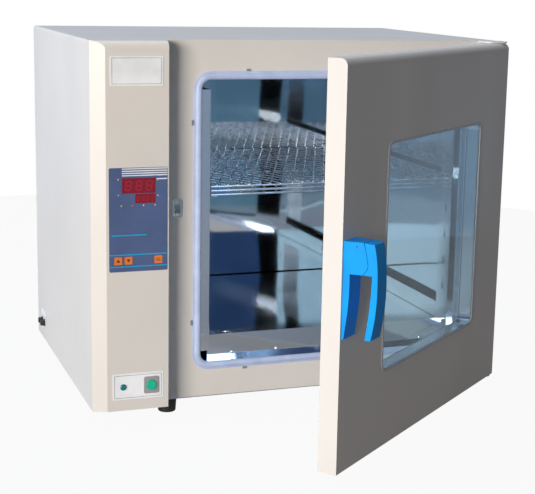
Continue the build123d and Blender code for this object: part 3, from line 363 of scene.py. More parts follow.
CREAM = (0.78, 0.725, 0.66)
finish = {
    "cream_coat": powder_coat("cream_coat", CREAM),
    "liner": mirror_sheet("liner_mirror_steel", (0.72, 0.77, 0.82), 0.045, 0.0035),
    "rail": mirror_sheet("rail_polished_steel", (0.80, 0.83, 0.86), 0.09, 0.0012, (1.0, 60.0, 1.0)),
    "floor": mirror_sheet("floor_plate_polished_steel", (0.74, 0.79, 0.84), 0.05, 0.0022, (60.0, 1.0, 1.0)),
    "jamb": mirror_sheet("jamb_polished_steel", (0.78, 0.83, 0.88), 0.12, 0.0008),
    "wire": bright_wire("bright_shelf_wire"),
    "expanded": bright_wire("bright_expanded_steel", (0.90, 0.92, 0.95), 0.3, 0.000002),
    "screw": bright_wire("plated_screw_steel", (0.74, 0.74, 0.73), 0.2),
    "zinc": zinc_sheet("galvanised_sheet"),
    "glass": pane("door_pane_glass", (0.80, 0.92, 0.97)),
    "handle": moulded_plastic("blue_handle_plastic", (0.0, 0.36, 0.95), 0.5, 700.0, 0.00005, gloss=0.2),
    "gasket": soft_rubber("pale_gasket_silicone", (0.52, 0.60, 0.82), 0.5),
    "foot": soft_rubber("black_foot_rubber", (0.014, 0.014, 0.016), 0.55),
    "black": moulded_plastic("black_fitting_plastic", (0.02, 0.02, 0.022), 0.42),
    "bush": moulded_plastic("white_bush_plastic", (0.72, 0.72, 0.70), 0.4),
    "overlay": moulded_plastic("blue_grey_overlay_film", (0.085, 0.125, 0.26), 0.42, 1400.0, 0.00002),
    "white_film": moulded_plastic("white_plate_film", (0.96, 0.96, 0.97), 0.32, 1400.0, 0.00001, 0.2),
    "white_ink": moulded_plastic("white_stripe_ink", (0.83, 0.85, 0.90), 0.4),
    "cyan_ink": moulded_plastic("cyan_line_ink", (0.0, 0.42, 0.72), 0.4),
    "line_ink": moulded_plastic("grey_line_ink", (0.16, 0.17, 0.22), 0.45),
    "trim": moulded_plastic("grey_window_trim", (0.55, 0.57, 0.60), 0.3),
    "bezel": moulded_plastic("grey_switch_bezel", (0.36, 0.34, 0.35), 0.32, 900.0, 0.00003, 0.2),
    "key": moulded_plastic("orange_key_plastic", (0.84, 0.22, 0.035), 0.38),
    "key_mark": moulded_plastic("dark_key_mark", (0.12, 0.025, 0.01), 0.45),
    "red_window": tinted_lens("red_display_window", (0.20, 0.006, 0.018), 0.12, 0.1),
    "digit": tinted_lens("red_digit_light", (0.42, 0.010, 0.025), 0.16),
    "lamp": tinted_lens("blue_green_pilot_lens", (0.0, 0.16, 0.20), 0.05),
    "button": tinted_lens("green_button_lens", (0.0, 0.46, 0.27), 0.08),
    "amber_dot": tinted_lens("amber_indicator", (0.52, 0.34, 0.10), 0.1),
    "green_dot": tinted_lens("green_indicator", (0.30, 0.42, 0.12), 0.1),
    "red_dot": tinted_lens("red_indicator", (0.62, 0.10, 0.04), 0.2),
    "board": moulded_plastic("green_circuit_board", (0.02, 0.20, 0.07), 0.35),
    "core": moulded_plastic("varnished_core_steel", (0.10, 0.07, 0.05), 0.4),
    "wool": wool("mineral_wool"),
}


# Mesh helpers


def scene_object(name, data):
    """A new object in the scene."""
    made = bpy.data.objects.new(name, data)
    bpy.context.scene.collection.objects.link(made)
    return made


def kept_mesh(form, name):
    """A working form's mesh; the form itself is freed."""
    mesh = bpy.data.meshes.new(name)
    form.to_mesh(mesh)
    form.free()
    return mesh


def applied(piece):
    """A piece's mesh with its modifiers worked into it."""
    evaluated = piece.evaluated_get(bpy.context.evaluated_depsgraph_get())
    return bpy.data.meshes.new_from_object(evaluated)


def link_mesh(name, mesh, material):
    """A new piece from a mesh, with its finish."""
    piece = scene_object(name, mesh)
    mesh.materials.clear()
    mesh.materials.append(material)
    return piece


def finish_piece(piece, body, slot, *nodes):
    """Hang a piece on the empty of the body it rides on, and hide the CAD nodes it stands for; the slot
    argument is not used.
    """
    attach(piece, body)
    if nodes:
        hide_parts(*nodes)
    return piece


def merged_copy(node):
    """A CAD node's triangles joined into faces."""
    form = bmesh.new()
    form.from_mesh(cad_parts[node].data)
    bmesh.ops.remove_doubles(form, verts=form.verts, dist=0.00001)
    bmesh.ops.dissolve_limit(form, angle_limit=math.radians(0.6), verts=form.verts, edges=form.edges)
    return kept_mesh(form, node + "_form")


def softened(node, name, material, width, segments=2, angle=32.0):
    """A CAD node's own shape with its sharp edges eased, as bent sheet and mouldings have them."""
    mesh = merged_copy(node)
    piece = link_mesh(name, mesh, material)
    mesh.shade_smooth()
    bevel = piece.modifiers.new("eased_edges", "BEVEL")
    bevel.width = width
    bevel.segments = segments
    bevel.limit_method = "ANGLE"
    bevel.angle_limit = math.radians(angle)
    bevel.harden_normals = True
    bevel.use_clamp_overlap = True
    flat = piece.modifiers.new("flat_faces", "WEIGHTED_NORMAL")
    flat.mode = "FACE_AREA"
    flat.weight = 100
    flat.keep_sharp = True
    finished = applied(piece)
    piece.modifiers.clear()
    piece.data = finished
    bpy.data.meshes.remove(mesh)
    finished.name = name
    return piece


def flat_shape(outlines, depth):
    """Flat shapes that face the front, as (x, z) outlines, given a thickness towards the back."""
    form = bmesh.new()
    for outline in outlines:
        front = [form.verts.new((x, 0.0, z)) for x, z in outline]
        rear = [form.verts.new((x, depth, z)) for x, z in outline]
        form.faces.new(front)
        form.faces.new(reversed(rear))
        count = len(outline)
        for i in range(count):
            j = (i + 1) % count
            form.faces.new((front[j], front[i], rear[i], rear[j]))
    bmesh.ops.recalc_face_normals(form, faces=form.faces)
    return kept_mesh(form, "flat_shape")


def bar(x0, x1, z0, z1):
    """A rectangle's outline."""
    return [(x0, z0), (x1, z0), (x1, z1), (x0, z1)]


def border(x0, x1, z0, z1, line):
    """Four bars that make a thin rectangular line."""
    return [
        bar(x0, x1, z1 - line, z1), bar(x0, x1, z0, z0 + line),
        bar(x0, x0 + line, z0 + line, z1 - line), bar(x1 - line, x1, z0 + line, z1 - line),
    ]


def printed(name, outlines, y, material, body="cabinet", slot="white_film"):
    """Thin ink on a front face at depth y."""
    mesh = flat_shape(outlines, INK_DEPTH)
    mesh.transform(Matrix.Translation((0.0, y - INK_DEPTH, 0.0)))
    return finish_piece(link_mesh(name, mesh, material), body, slot)


# Geometry node trees


def start_tree(name, inputs):
    """A geometry node tree with named number inputs."""
    tree = bpy.data.node_groups.new(name, "GeometryNodeTree")
    tree.interface.new_socket("Geometry", in_out="INPUT", socket_type="NodeSocketGeometry")
    for label, kind, value in inputs:
        socket = tree.interface.new_socket(label, in_out="INPUT", socket_type=kind)
        if value is not None:
            socket.default_value = value
    tree.interface.new_socket("Geometry", in_out="OUTPUT", socket_type="NodeSocketGeometry")
    return tree, tree.nodes.new("NodeGroupInput")


def end_tree(tree, geometry, material):
    """Close a tree with Realize Instances and Set Material."""
    realized = add_node(tree, "GeometryNodeRealizeInstances", {"Geometry": geometry})
    painted = add_node(tree, "GeometryNodeSetMaterial",
                       {"Geometry": realized.outputs[0], "Material": material})
    output = tree.nodes.new("NodeGroupOutput")
    tree.links.new(painted.outputs[0], output.inputs[0])


def grown_mesh(name, base, tree, values, material):
    """Run a tree on a base mesh and keep the result as a plain piece."""
    carrier = scene_object(name + "_carrier", base)
    modifier = carrier.modifiers.new("grow", "NODES")
    modifier.node_group = tree
    for item in tree.interface.items_tree:
        if item.item_type == "SOCKET" and item.in_out == "INPUT" and item.name in values:
            modifier[item.identifier] = values[item.name]
    mesh = applied(carrier)
    bpy.data.objects.remove(carrier)
    mesh.name = name
    return link_mesh(name, mesh, material)


def maths(tree, operation, first, second=None):
    """The result of a sum on one or two values."""
    inputs = {0: first}
    if second is not None:
        inputs[1] = second
    return add_node(tree, "ShaderNodeMath", inputs, operation=operation).outputs[0]


def expanded_metal_tree():
    """Zigzag strands in rows that meet at their peaks, as in expanded metal."""
    tree, given = start_tree("expanded_metal", [
        ("Columns", "NodeSocketInt", 23), ("Rows", "NodeSocketInt", 9),
        ("Length", "NodeSocketFloat", 0.055), ("Width", "NodeSocketFloat", 0.0215),
        ("Strand Width", "NodeSocketFloat", 0.003), ("Strand Thickness", "NodeSocketFloat", 0.0012),
        ("Tilt", "NodeSocketFloat", 0.5),
    ])
    half_length = maths(tree, "MULTIPLY", given.outputs["Length"], 0.5)
    amplitude = maths(tree, "MULTIPLY", given.outputs["Width"], 0.25)
    points = maths(tree, "ADD", maths(tree, "MULTIPLY", given.outputs["Rows"], 2.0), 1.0)
    step = add_node(tree, "ShaderNodeCombineXYZ", {"Y": half_length})
    section = add_node(tree, "GeometryNodeCurvePrimitiveQuadrilateral",
                       {"Width": given.outputs["Strand Width"], "Height": given.outputs["Strand Thickness"]})
    tilt = add_node(tree, "ShaderNodeCombineXYZ", {"Z": given.outputs["Tilt"]})
    section = add_node(tree, "GeometryNodeTransform",
                       {"Geometry": section.outputs[0], "Rotation": tilt.outputs[0]})
    joined = tree.nodes.new("GeometryNodeJoinGeometry")
    for sign in (-1.0, 1.0):
        line = add_node(tree, "GeometryNodeMeshLine", {"Count": points, "Offset": step.outputs[0]})
        index = tree.nodes.new("GeometryNodeInputIndex")
        phase = maths(tree, "MODULO", index.outputs[0], 2.0)
        side = maths(tree, "SUBTRACT", maths(tree, "MULTIPLY", phase, 2.0 * sign), sign)
        offset = add_node(tree, "ShaderNodeCombineXYZ", {"X": maths(tree, "MULTIPLY", side, amplitude)})
        zigzag = add_node(tree, "GeometryNodeSetPosition",
                          {"Geometry": line.outputs[0], "Offset": offset.outputs[0]})
        curve = add_node(tree, "GeometryNodeMeshToCurve", {"Mesh": zigzag.outputs[0]})
        strand = add_node(tree, "GeometryNodeCurveToMesh",
                          {"Curve": curve.outputs[0], "Profile Curve": section.outputs[0], "Fill Caps": True})
        start = add_node(tree, "ShaderNodeCombineXYZ",
                         {"X": maths(tree, "MULTIPLY", given.outputs["Width"], 0.25 if sign < 0 else 0.75)})
        rows = add_node(tree, "GeometryNodeMeshLine", {
            "Count": given.outputs["Columns"], "Start Location": start.outputs[0],
            "Offset": add_node(tree, "ShaderNodeCombineXYZ", {"X": given.outputs["Width"]}).outputs[0]})
        placed = add_node(tree, "GeometryNodeInstanceOnPoints",
                          {"Points": rows.outputs[0], "Instance": strand.outputs[0]})
        tree.links.new(placed.outputs[0], joined.inputs[0])
    end_tree(tree, joined.outputs[0], finish["expanded"])
    return tree


def screw_tree(head):
    """Copies of one screw head on points, each turned to face along its point's normal."""
    tree, given = start_tree("screw_rows", [("Size", "NodeSocketFloat", 1.0), ("Seed", "NodeSocketInt", 3)])
    source = add_node(tree, "GeometryNodeObjectInfo", {"Object": head})
    facing = add_node(tree, "GeometryNodeInputNamedAttribute", {"Name": "facing"}, data_type="FLOAT_VECTOR")
    turn = add_node(tree, "FunctionNodeAlignRotationToVector", {"Vector": facing.outputs[0]}, axis="Z")
    spin = add_node(tree, "FunctionNodeRandomValue", {"Seed": given.outputs["Seed"]}, data_type="FLOAT")
    spin.inputs[2].default_value = 0.0
    spin.inputs[3].default_value = math.pi
    local = add_node(tree, "ShaderNodeCombineXYZ", {"Z": spin.outputs[1]})
    twist = add_node(tree, "FunctionNodeRotateRotation",
                     {"Rotation": turn.outputs[0], "Rotate By": local.outputs[0]}, rotation_space="LOCAL")
    placed = add_node(tree, "GeometryNodeInstanceOnPoints", {
        "Points": given.outputs[0], "Instance": source.outputs["Geometry"],
        "Rotation": twist.outputs[0], "Scale": given.outputs["Size"]})
    end_tree(tree, placed.outputs[0], finish["screw"])
    return tree


def screw_head():
    """A pan head with a cross recess, facing up."""
    profile = [(0.0, 0.0024), (0.0012, 0.00236), (0.0025, 0.0021),
               (0.0034, 0.0016), (0.0039, 0.0009), (0.004, 0.0)]
    form = bmesh.new()
    ring = [form.verts.new((r, 0.0, z)) for r, z in profile]
    edges = [form.edges.new((a, b)) for a, b in zip(ring, ring[1:])]
    bmesh.ops.spin(form, geom=ring + edges, cent=(0, 0, 0), axis=(0, 0, 1), angle=2 * math.pi, steps=20)
    bmesh.ops.remove_doubles(form, verts=form.verts, dist=0.000002)
    bmesh.ops.holes_fill(form, edges=form.edges)
    bmesh.ops.recalc_face_normals(form, faces=form.faces)
    head = scene_object("screw_head", kept_mesh(form, "screw_head"))
    cutter_form = bmesh.new()
    for long_x, long_y in ((0.0021, 0.0004), (0.0004, 0.0021)):
        sized = Matrix.Diagonal((long_x * 2, long_y * 2, 0.003, 1.0))
        bmesh.ops.create_cube(cutter_form, size=1.0, matrix=Matrix.Translation((0, 0, 0.0027)) @ sized)
    cutter = scene_object("cross_recess", kept_mesh(cutter_form, "cross_recess"))
    cut = head.modifiers.new("recess", "BOOLEAN")
    cut.object = cutter
    cut.operation = "DIFFERENCE"
    cut.solver = "EXACT"
    cut.use_self = True
    result = applied(head)
    head.modifiers.clear()
    head.data = result
    bpy.data.objects.remove(cutter)
    result.shade_smooth()
    result.set_sharp_from_angle(angle=math.radians(35))
    return head


def screw_row(name, places, facing, tree, body, size=1.0):
    """Screw heads at the places given, on one body."""
    points = bpy.data.meshes.new(name + "_points")
    points.from_pydata([tuple(place) for place in places], [], [])
    directions = points.attributes.new("facing", "FLOAT_VECTOR", "POINT")
    for i in range(len(places)):
        directions.data[i].vector = facing
    piece = grown_mesh(name, points, tree, {"Size": size, "Seed": 3}, finish["screw"])
    return finish_piece(piece, body, "steel")


# Cabinet

SHEET_PIECES = [
    ("outer_shell", "cabinet_shell", "cabinet", SHEET_BEVEL / 2, 32.0),
    ("front_frame", "cabinet_face", "cabinet", SHEET_BEVEL / 2, 32.0),
    ("control_column", "column_cover", "cabinet", SHEET_BEVEL / 2, 20.0),
    ("back_cover", "rear_cover", "cabinet", TRIM_BEVEL / 2, 32.0),
    ("door_skin", "door_tray", "door", SHEET_BEVEL / 2, 32.0),
]
HANDLE_PIECES = [
    ("handle_base", "handle_fixed_half", "door"),
    ("handle_lever", "handle_pull", "lever"),
]


def dress_sheet_metal():
    """The painted shell, face plate, column, back and door, with their folds and edges eased."""
    for node, name, body, width, angle in SHEET_PIECES:
        piece = softened(node, name, finish["cream_coat"], width, 2, angle)
        finish_piece(piece, body, "cream_paint", node)


def dress_handle():
    """The blue handle's two mouldings with rounded edges."""
    for node, name, body in HANDLE_PIECES:
        piece = softened(node, name, finish["handle"], MOULDING_BEVEL / 2, 3, 30.0)
        finish_piece(piece, body, "blue_plastic", node)


def dress_shelf():
    """The expanded metal of the shelf, strand by strand."""
    low, high = corners("shelf_mesh")
    columns = round((high.x - low.x) / DIAMOND_WIDTH)
    rows = round((high.y - low.y) / DIAMOND_LENGTH)
    base = bpy.data.meshes.new("shelf_seed")
    piece = grown_mesh("shelf_expanded_metal", base, expanded_metal_tree(), {
        "Columns": columns, "Rows": rows,
        "Length": (high.y - low.y) / rows, "Width": (high.x - low.x) / columns,
        "Strand Width": STRAND_WIDTH, "Strand Thickness": STRAND_THICKNESS,
        "Tilt": STRAND_TILT}, finish["expanded"])
    middle = (low.z + high.z) / 2
    piece.data.transform(Matrix.Translation((low.x, low.y, middle)))
    finish_piece(piece, "shelf", "steel", "shelf_mesh")


def ring_path(x0, x1, z0, z1, radius, steps=8):
    """Points of a rounded rectangle that faces the front, each with its outward direction."""
    path = []
    middles = [(x1 - radius, z1 - radius), (x0 + radius, z1 - radius),
               (x0 + radius, z0 + radius), (x1 - radius, z0 + radius)]
    for quarter, (cx, cz) in enumerate(middles):
        for i in range(steps + 1):
            angle = math.radians(90) * (quarter + i / steps)
            out_x, out_z = math.cos(angle), math.sin(angle)
            path.append((cx + radius * out_x, cz + radius * out_z, out_x, out_z))
    return path


def gasket_section():
    """Across the seal: how far out from its inner edge, and how far proud of the face, as shares."""
    bulb = []
    for i in range(13):
        angle = math.pi * i / 12
        bulb.append((0.38 - 0.38 * math.cos(angle), 0.16 + 0.84 * math.sin(angle) ** 0.8))
    lip = [(0.82, 0.13), (0.90, 0.15), (0.97, 0.12), (1.0, 0.05)]
    return [(0.0, 0.0)] + bulb + lip + [(1.0, 0.0)]


def dress_gasket():
    """The soft seal: a hollow bulb with a flat lip that its clips hold."""
    low, high = corners("opening_gasket")
    proud = high.y - low.y
    inner = (low.x + GASKET_WIDTH, high.x - GASKET_WIDTH, low.z + GASKET_WIDTH, high.z - GASKET_WIDTH)
    section = gasket_section()
    form = bmesh.new()
    rings = []
    for x, z, out_x, out_z in ring_path(*inner, GASKET_CORNER):
        ring = []
        for out, rise in section:
            reach = out * GASKET_WIDTH
            ring.append(form.verts.new((x + out_x * reach, high.y - rise * proud, z + out_z * reach)))
        rings.append(ring)
    count = len(section)
    for here, ahead in zip(rings, rings[1:] + rings[:1]):
        for i in range(count):
            j = (i + 1) % count
            form.faces.new((here[i], here[j], ahead[j], ahead[i]))
    bmesh.ops.recalc_face_normals(form, faces=form.faces)
    mesh = kept_mesh(form, "opening_seal")
    mesh.shade_smooth()
    mesh.set_sharp_from_angle(angle=math.radians(50))
    piece = link_mesh("opening_seal", mesh, finish["gasket"])
    finish_piece(piece, "cabinet", "pale_silicone", "opening_gasket")


def dress_feet():
    """Moulded rubber feet with rounded rims."""
    finish_piece(softened("rubber_feet", "moulded_feet", finish["foot"], MOULDING_BEVEL, 3, 40.0),
                 "cabinet", "black_rubber", "rubber_feet")


def separate_solids(node):
    """The node's loose solids, each as a list of faces' corners, from left to right and top to bottom."""
    form = bmesh.new()
    form.from_mesh(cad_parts[node].data)
    bmesh.ops.remove_doubles(form, verts=form.verts, dist=0.00001)
    left_over = set(form.faces)
    solids = []
    while left_over:
        grown = {left_over.pop()}
        edge = list(grown)
        while edge:
            for vert in edge.pop().verts:
                for near in vert.link_faces:
                    if near in left_over:
                        left_over.discard(near)
                        grown.add(near)
                        edge.append(near)
        solids.append([[tuple(vert.co) for vert in face.verts] for face in grown])
    form.free()

    def place(solid):
        points = [point for face in solid for point in face]
        return (-round(sum(p[2] for p in points) / len(points), 3), sum(p[0] for p in points) / len(points))

    return sorted(solids, key=place)


def dress_indicators():
    """The small indicator lights, each in its own colour."""
    solids = separate_solids("indicator_lights")
    for number, (solid, colour) in enumerate(zip(solids, INDICATOR_COLOURS), 1):
        form = bmesh.new()
        for face in solid:
            form.faces.new([form.verts.new(point) for point in face])
        bmesh.ops.remove_doubles(form, verts=form.verts, dist=0.00001)
        piece = link_mesh(f"indicator_{number}", kept_mesh(form, "indicator"), finish[colour])
        finish_piece(piece, "cabinet", "orange_plastic", "indicator_lights")


def figure_bars(x, z, width, height):
    """The seven bars of one lit figure, with its lower left corner at x, z."""
    t = width * FIGURE_BAR
    mid = z + height / 2
    x1, z1 = x + width, z + height
    bars = [
        bar(x + t, x1 - t, z1 - t, z1),
        bar(x1 - t, x1, mid + t / 2, z1 - t),
        bar(x1 - t, x1, z + t, mid - t / 2),
        bar(x + t, x1 - t, z, z + t),
        bar(x, x + t, z + t, mid - t / 2),
        bar(x, x + t, mid + t / 2, z1 - t),
        bar(x + t, x1 - t, mid - t / 2, mid + t / 2),
    ]
    return [[(px + (pz - z) * FIGURE_LEAN, pz) for px, pz in outline] for outline in bars]


def front_middle(node):
    """The middle of a node's front face, as x, y and z."""
    low, high = corners(node)
    return (low.x + high.x) / 2, low.y, (low.z + high.z) / 2


def print_stripes():
    """White stripes and cyan lines on the overlay."""
    low, high = corners("control_overlay")
    right = high.x - RIGHT_MARGIN
    stripes = []
    for i in range(4):
        z = high.z - STRIPE_TOP - STRIPE_PITCH * i
        stripes.append(bar(low.x + STRIPE_LEFT, right, z - STRIPE_HEIGHT, z))
    z = high.z - STRIPE_TOP - STRIPE_PITCH * 4 - SHORT_STRIPE_DROP
    stripes.append(bar(low.x + SHORT_STRIPE_LEFT, right, z - STRIPE_HEIGHT, z))
    printed("panel_white_stripes", stripes, low.y, finish["white_ink"])
    x0, x1, z0, z1 = CYAN_RULE
    lines = [bar(low.x + x0, low.x + x1, low.z + z0, low.z + z1)]
    for z in CYAN_LINE_HEIGHTS:
        lines.append(bar(low.x + CYAN_LINE_LEFT, right, low.z + z, low.z + z + CYAN_LINE_WIDTH))
    printed("panel_cyan_lines", lines, low.y, finish["cyan_ink"])


def print_figures():
    """The two rows of lit figures on the red window."""
    low, high = corners("control_overlay")
    window_low, _ = corners("display_windows")
    figures = []
    for count, left, drop, pitch, width, height in FIGURE_ROWS:
        for i in range(count):
            figures += figure_bars(low.x + left + pitch * i, high.z - drop, width, height)
    printed("lit_figures", figures, window_low.y, finish["digit"], slot="red_window")


def print_key_marks():
    """An arrow on each of two keys, and three short lines on the third."""
    for name, tip in (("key_up", 1.0), ("key_down", -1.0)):
        x, front, z = front_middle(name)
        foot = z - ARROW_FOOT * tip
        mark = [(x - ARROW_HALF_WIDTH, foot), (x + ARROW_HALF_WIDTH, foot), (x, z + ARROW_TIP * tip)]
        if tip < 0:
            mark.reverse()
        printed(name + "_mark", [mark], front, finish["key_mark"], name, "orange_plastic")
    x, front, z = front_middle("key_set")
    marks = []
    for rise in (-SET_LINE_PITCH, 0.0, SET_LINE_PITCH):
        marks.append(bar(x - SET_LINE_HALF_WIDTH, x + SET_LINE_HALF_WIDTH,
                         z + rise - SET_LINE_HALF_HEIGHT, z + rise + SET_LINE_HALF_HEIGHT))
    printed("key_set_mark", marks, front, finish["key_mark"], "key_set", "orange_plastic")


def print_plate_lines():
    """A thin line just inside the edge of the name plate and of the switch plate."""
    for node in ("name_plate", "switch_plate"):
        low, high = corners(node)
        line = border(low.x + PLATE_LINE_INSET, high.x - PLATE_LINE_INSET,
                      low.z + PLATE_LINE_INSET, high.z - PLATE_LINE_INSET, PLATE_LINE_WIDTH)
        printed(node + "_line", line, low.y, finish["line_ink"])


def dress_panel():
    """Stripes, lines, figures and key marks of the control panel."""
    print_stripes()
    print_figures()
    print_key_marks()
    print_plate_lines()


def dress_floor_screws(tree):
    """Screws along the floor plate's front riser, and near the corners of its top."""
    low, high = corners("floor_plate")
    middle = (low.x + high.x) / 2
    outer = (high.x - low.x) / 2 - RISER_SCREW_END
    riser = [(middle + outer * share, low.y, low.z + RISER_SCREW_RISE) for share in RISER_SCREW_SHARES]
    piece = screw_row("floor_riser_screws", riser, (0.0, -1.0, 0.0), tree, "cabinet")
    tops = [(x, y, high.z) for x in (low.x + TOP_SCREW_SIDE, high.x - TOP_SCREW_SIDE)
            for y in (low.y + TOP_SCREW_END, high.y - TOP_SCREW_END)]
    screw_row("floor_top_screws", tops, (0.0, 0.0, 1.0), tree, "cabinet")
    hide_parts("floor_plate_screws")


def dress_rear_screws(tree):
    """Screws round the edge of the rear cover."""
    _, back_high = corners("back_cover")
    base_low, _ = corners("base_pan")
    shell_low, shell_high = corners("outer_shell")
    y = back_high.y
    top = shell_high.z - REAR_SCREW_INSET
    heights = (base_low.z + REAR_SCREW_LOW, (base_low.z + shell_high.z) / 2, top)
    sides = (shell_low.x + REAR_SCREW_INSET, shell_high.x - REAR_SCREW_INSET)
    rear = [(x, y, z) for z in heights for x in sides]
    centre = (shell_low.x + shell_high.x) / 2
    rear += [(centre, y, top), (centre, y, base_low.z + REAR_MIDDLE_SCREW_LOW)]
    piece = screw_row("rear_cover_screws", rear, (0.0, 1.0, 0.0), tree, "cabinet")
    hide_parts("rear_screws")


def dress_screws():
    """Cross-headed screws on the floor plate and the rear cover."""
    head = screw_head()
    tree = screw_tree(head)
    dress_floor_screws(tree)
    dress_rear_screws(tree)
    bpy.data.objects.remove(head)


CAD_FINISHES = {
    "zinc": ["base_pan", "compartment_bulkhead", "electronics_tray", "gasket_clips", "hinge_screws"],
    "screw": ["foot_screws", "handle_pin", "handle_screws", "latch_hook", "striker_catch", "heater_brackets"],
    "liner": ["chamber_liner", "door_inner_panel"],
    "rail": ["shelf_uprights", "shelf_rails", "temperature_probe"],
    "floor": ["floor_plate"],
    "jamb": ["window_jamb"],
    "wire": ["shelf_frame", "heater_element"],
    "glass": ["outer_glass", "inner_glass"],
    "black": ["cord_gland", "fuse_holders", "relay_block", "key_switches", "digit_modules"],
    "bezel": ["power_switch"],
    "bush": ["hinge_bushes"],
    "overlay": ["control_overlay"],
    "white_film": ["name_plate", "switch_plate", "fuse_plate"],
    "trim": ["window_trim"],
    "red_window": ["display_windows"],
    "lamp": ["pilot_lamp"],
    "button": ["power_button"],
    "key": ["key_up", "key_down", "key_set"],
    "board": ["control_board"],
    "core": ["transformer"],
    "cream_coat": ["hinge_brackets"],
    "wool": ["insulation", "door_insulation"],
}


def dress_cad_nodes():
    """Give each CAD node that stays its finish."""
    for name, nodes in CAD_FINISHES.items():
        for node in nodes:
            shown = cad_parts[node]
            shown.data.materials.clear()
            shown.data.materials.append(finish[name])


# Stage


def build_floor():
    """A plain pale floor, which looks white but throws little light up at the object."""
    material, tree, shader = start_material("pale_floor")
    tone = noise(tree, object_space(tree), 0.8, 2.0)
    tree.links.new(two_colours(tree, tone, (0.21, 0.22, 0.24), (0.24, 0.25, 0.27)),
                   shader.inputs["Base Color"])
    shader.inputs["Roughness"].default_value = 0.9
    rays = tree.nodes.new("ShaderNodeLightPath")
    white = add_node(tree, "ShaderNodeEmission", {"Color": (1.0, 1.0, 1.0, 1.0), "Strength": 1.0})
    lifted = add_node(tree, "ShaderNodeMixShader", {
        "Fac": maths(tree, "ADD", maths(tree, "MULTIPLY", rays.outputs["Is Camera Ray"], FLOOR_WHITENESS),
                     maths(tree, "MULTIPLY", rays.outputs["Is Glossy Ray"], FLOOR_IN_MIRRORS)),
        1: shader.outputs["BSDF"], 2: white.outputs[0]})
    output = next(node for node in tree.nodes if node.type == "OUTPUT_MATERIAL")
    tree.links.new(lifted.outputs[0], output.inputs["Surface"])
    form = bmesh.new()
    bmesh.ops.create_circle(form, cap_ends=True, radius=FLOOR_RADIUS, segments=96,
                            matrix=Matrix.Translation(FLOOR_MIDDLE))
    link_mesh("floor", kept_mesh(form, "floor"), material)


def area_light(name, place, target, width, height, power, colour):
    """A soft rectangular light that faces its target."""
    light = bpy.data.lights.new(name, "AREA")
    light.shape = "RECTANGLE"
    light.size = width
    light.size_y = height
    light.energy = power
    light.color = colour
    holder = scene_object(name, light)
    holder.location = place
    holder.rotation_euler = (Vector(target) - Vector(place)).to_track_quat("-Z", "Y").to_euler()


def build_lights():
    """A low warm key from the front left, a cool window on the left and a cool ceiling."""
    for name, settings in LIGHTS.items():
        area_light(name, *settings)


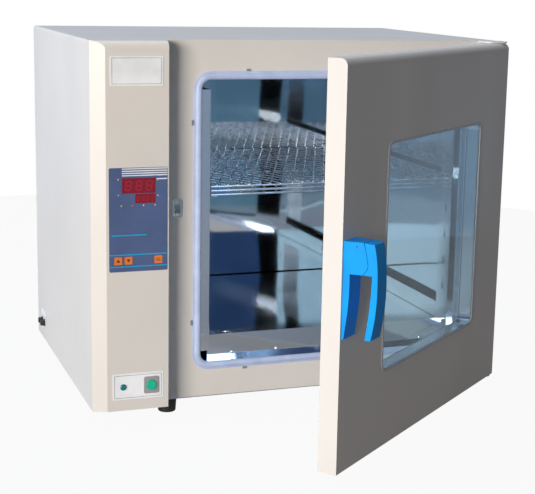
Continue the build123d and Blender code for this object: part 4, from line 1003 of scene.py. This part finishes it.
def build_world():
    """White for the camera, and for the light and the mirrors a dim blue room with a bright side."""
    world = bpy.data.worlds.new("studio")
    bpy.context.scene.world = world
    world.use_nodes = True
    tree = world.node_tree
    tree.nodes.clear()
    place = add_node(tree, "ShaderNodeTexCoord")
    direction = place.outputs["Generated"]
    axes = add_node(tree, "ShaderNodeSeparateXYZ", {"Vector": direction})
    front = two_colours(tree, spread(tree, axes.outputs["Z"], 0.0, 1.0, -0.35, 0.45),
                        ROOM_LOW, ROOM_HIGH, 0.25, 0.7)
    stretched = add_node(tree, "ShaderNodeMapping", {"Vector": direction, "Scale": (1.0, 1.0, 2.2)})
    clutter = noise(tree, stretched.outputs["Vector"], 4.0, 4.0, 0.6)
    shades = spread(tree, clutter, 0.45, 1.6, 0.3, 0.7)
    front = add_node(tree, "ShaderNodeVectorMath", {0: front, "Scale": shades}, operation="SCALE").outputs[0]
    across = maths(tree, "MULTIPLY", spread(tree, axes.outputs["X"], 0.0, 1.0, -0.66, -0.60),
                   spread(tree, axes.outputs["X"], 1.0, 0.0, -0.24, -0.18))
    upward = maths(tree, "MULTIPLY", spread(tree, axes.outputs["Z"], 0.0, 1.0, 0.0, 0.05),
                   spread(tree, axes.outputs["Z"], 1.0, 0.0, 0.36, 0.42))
    lit = add_node(tree, "ShaderNodeMix",
                   {"Factor": maths(tree, "MULTIPLY", across, upward)}, data_type="RGBA")
    tree.links.new(front, lit.inputs[6])
    lit.inputs[7].default_value = (*ROOM_WINDOW, 1.0)
    rear = add_node(tree, "ShaderNodeMix", {"Factor": spread(tree, axes.outputs["Y"], 0.0, 1.0, -0.05, 0.3)},
                    data_type="RGBA")
    tree.links.new(lit.outputs[2], rear.inputs[6])
    rear.inputs[7].default_value = (*ROOM_REAR, 1.0)
    dull = add_node(tree, "ShaderNodeMix", data_type="RGBA")
    rays = tree.nodes.new("ShaderNodeLightPath")
    tree.links.new(rays.outputs["Is Diffuse Ray"], dull.inputs["Factor"])
    tree.links.new(rear.outputs[2], dull.inputs[6])
    dull.inputs[7].default_value = (*ROOM_FILL, 1.0)
    seen = add_node(tree, "ShaderNodeMix", data_type="RGBA")
    tree.links.new(rays.outputs["Is Camera Ray"], seen.inputs["Factor"])
    tree.links.new(dull.outputs[2], seen.inputs[6])
    seen.inputs[7].default_value = (1.0, 1.0, 1.0, 1.0)
    background = add_node(tree, "ShaderNodeBackground", {"Color": seen.outputs[2], "Strength": 1.0})
    output = tree.nodes.new("ShaderNodeOutputWorld")
    tree.links.new(background.outputs[0], output.inputs["Surface"])


def set_tones():
    """Tones straight from the light, as a camera's own picture has them."""
    bpy.context.scene.view_settings.view_transform = "Standard"


def build_camera():
    """The photograph's camera."""
    ahead = Vector((math.sin(CAMERA_YAW) * math.cos(CAMERA_PITCH),
                    math.cos(CAMERA_YAW) * math.cos(CAMERA_PITCH), -math.sin(CAMERA_PITCH)))
    level = Vector((math.cos(CAMERA_YAW), -math.sin(CAMERA_YAW), 0.0))
    upright = level.cross(ahead)
    right = math.cos(CAMERA_ROLL) * level + math.sin(CAMERA_ROLL) * upright
    up = -math.sin(CAMERA_ROLL) * level + math.cos(CAMERA_ROLL) * upright
    lens = bpy.data.cameras.new("camera")
    lens.sensor_fit = "HORIZONTAL"
    lens.sensor_width = SENSOR_WIDTH
    lens.lens = FOCAL_PIXELS * SENSOR_WIDTH / PHOTO_WIDTH
    lens.shift_x = (PHOTO_WIDTH / 2 - IMAGE_CENTRE[0]) / PHOTO_WIDTH
    lens.shift_y = (IMAGE_CENTRE[1] - PHOTO_HEIGHT / 2) / PHOTO_WIDTH
    lens.clip_end = 60.0
    camera = scene_object("camera", lens)
    turned = Matrix((right, up, -ahead)).transposed()
    camera.matrix_world = Matrix.Translation(CAMERA_PLACE) @ turned.to_4x4()
    bpy.context.scene.camera = camera


set_tones()
build_camera()
dress_cad_nodes()
dress_sheet_metal()
dress_handle()
dress_shelf()
dress_gasket()
dress_feet()
dress_indicators()
dress_panel()
dress_screws()
build_floor()
build_lights()
build_world()
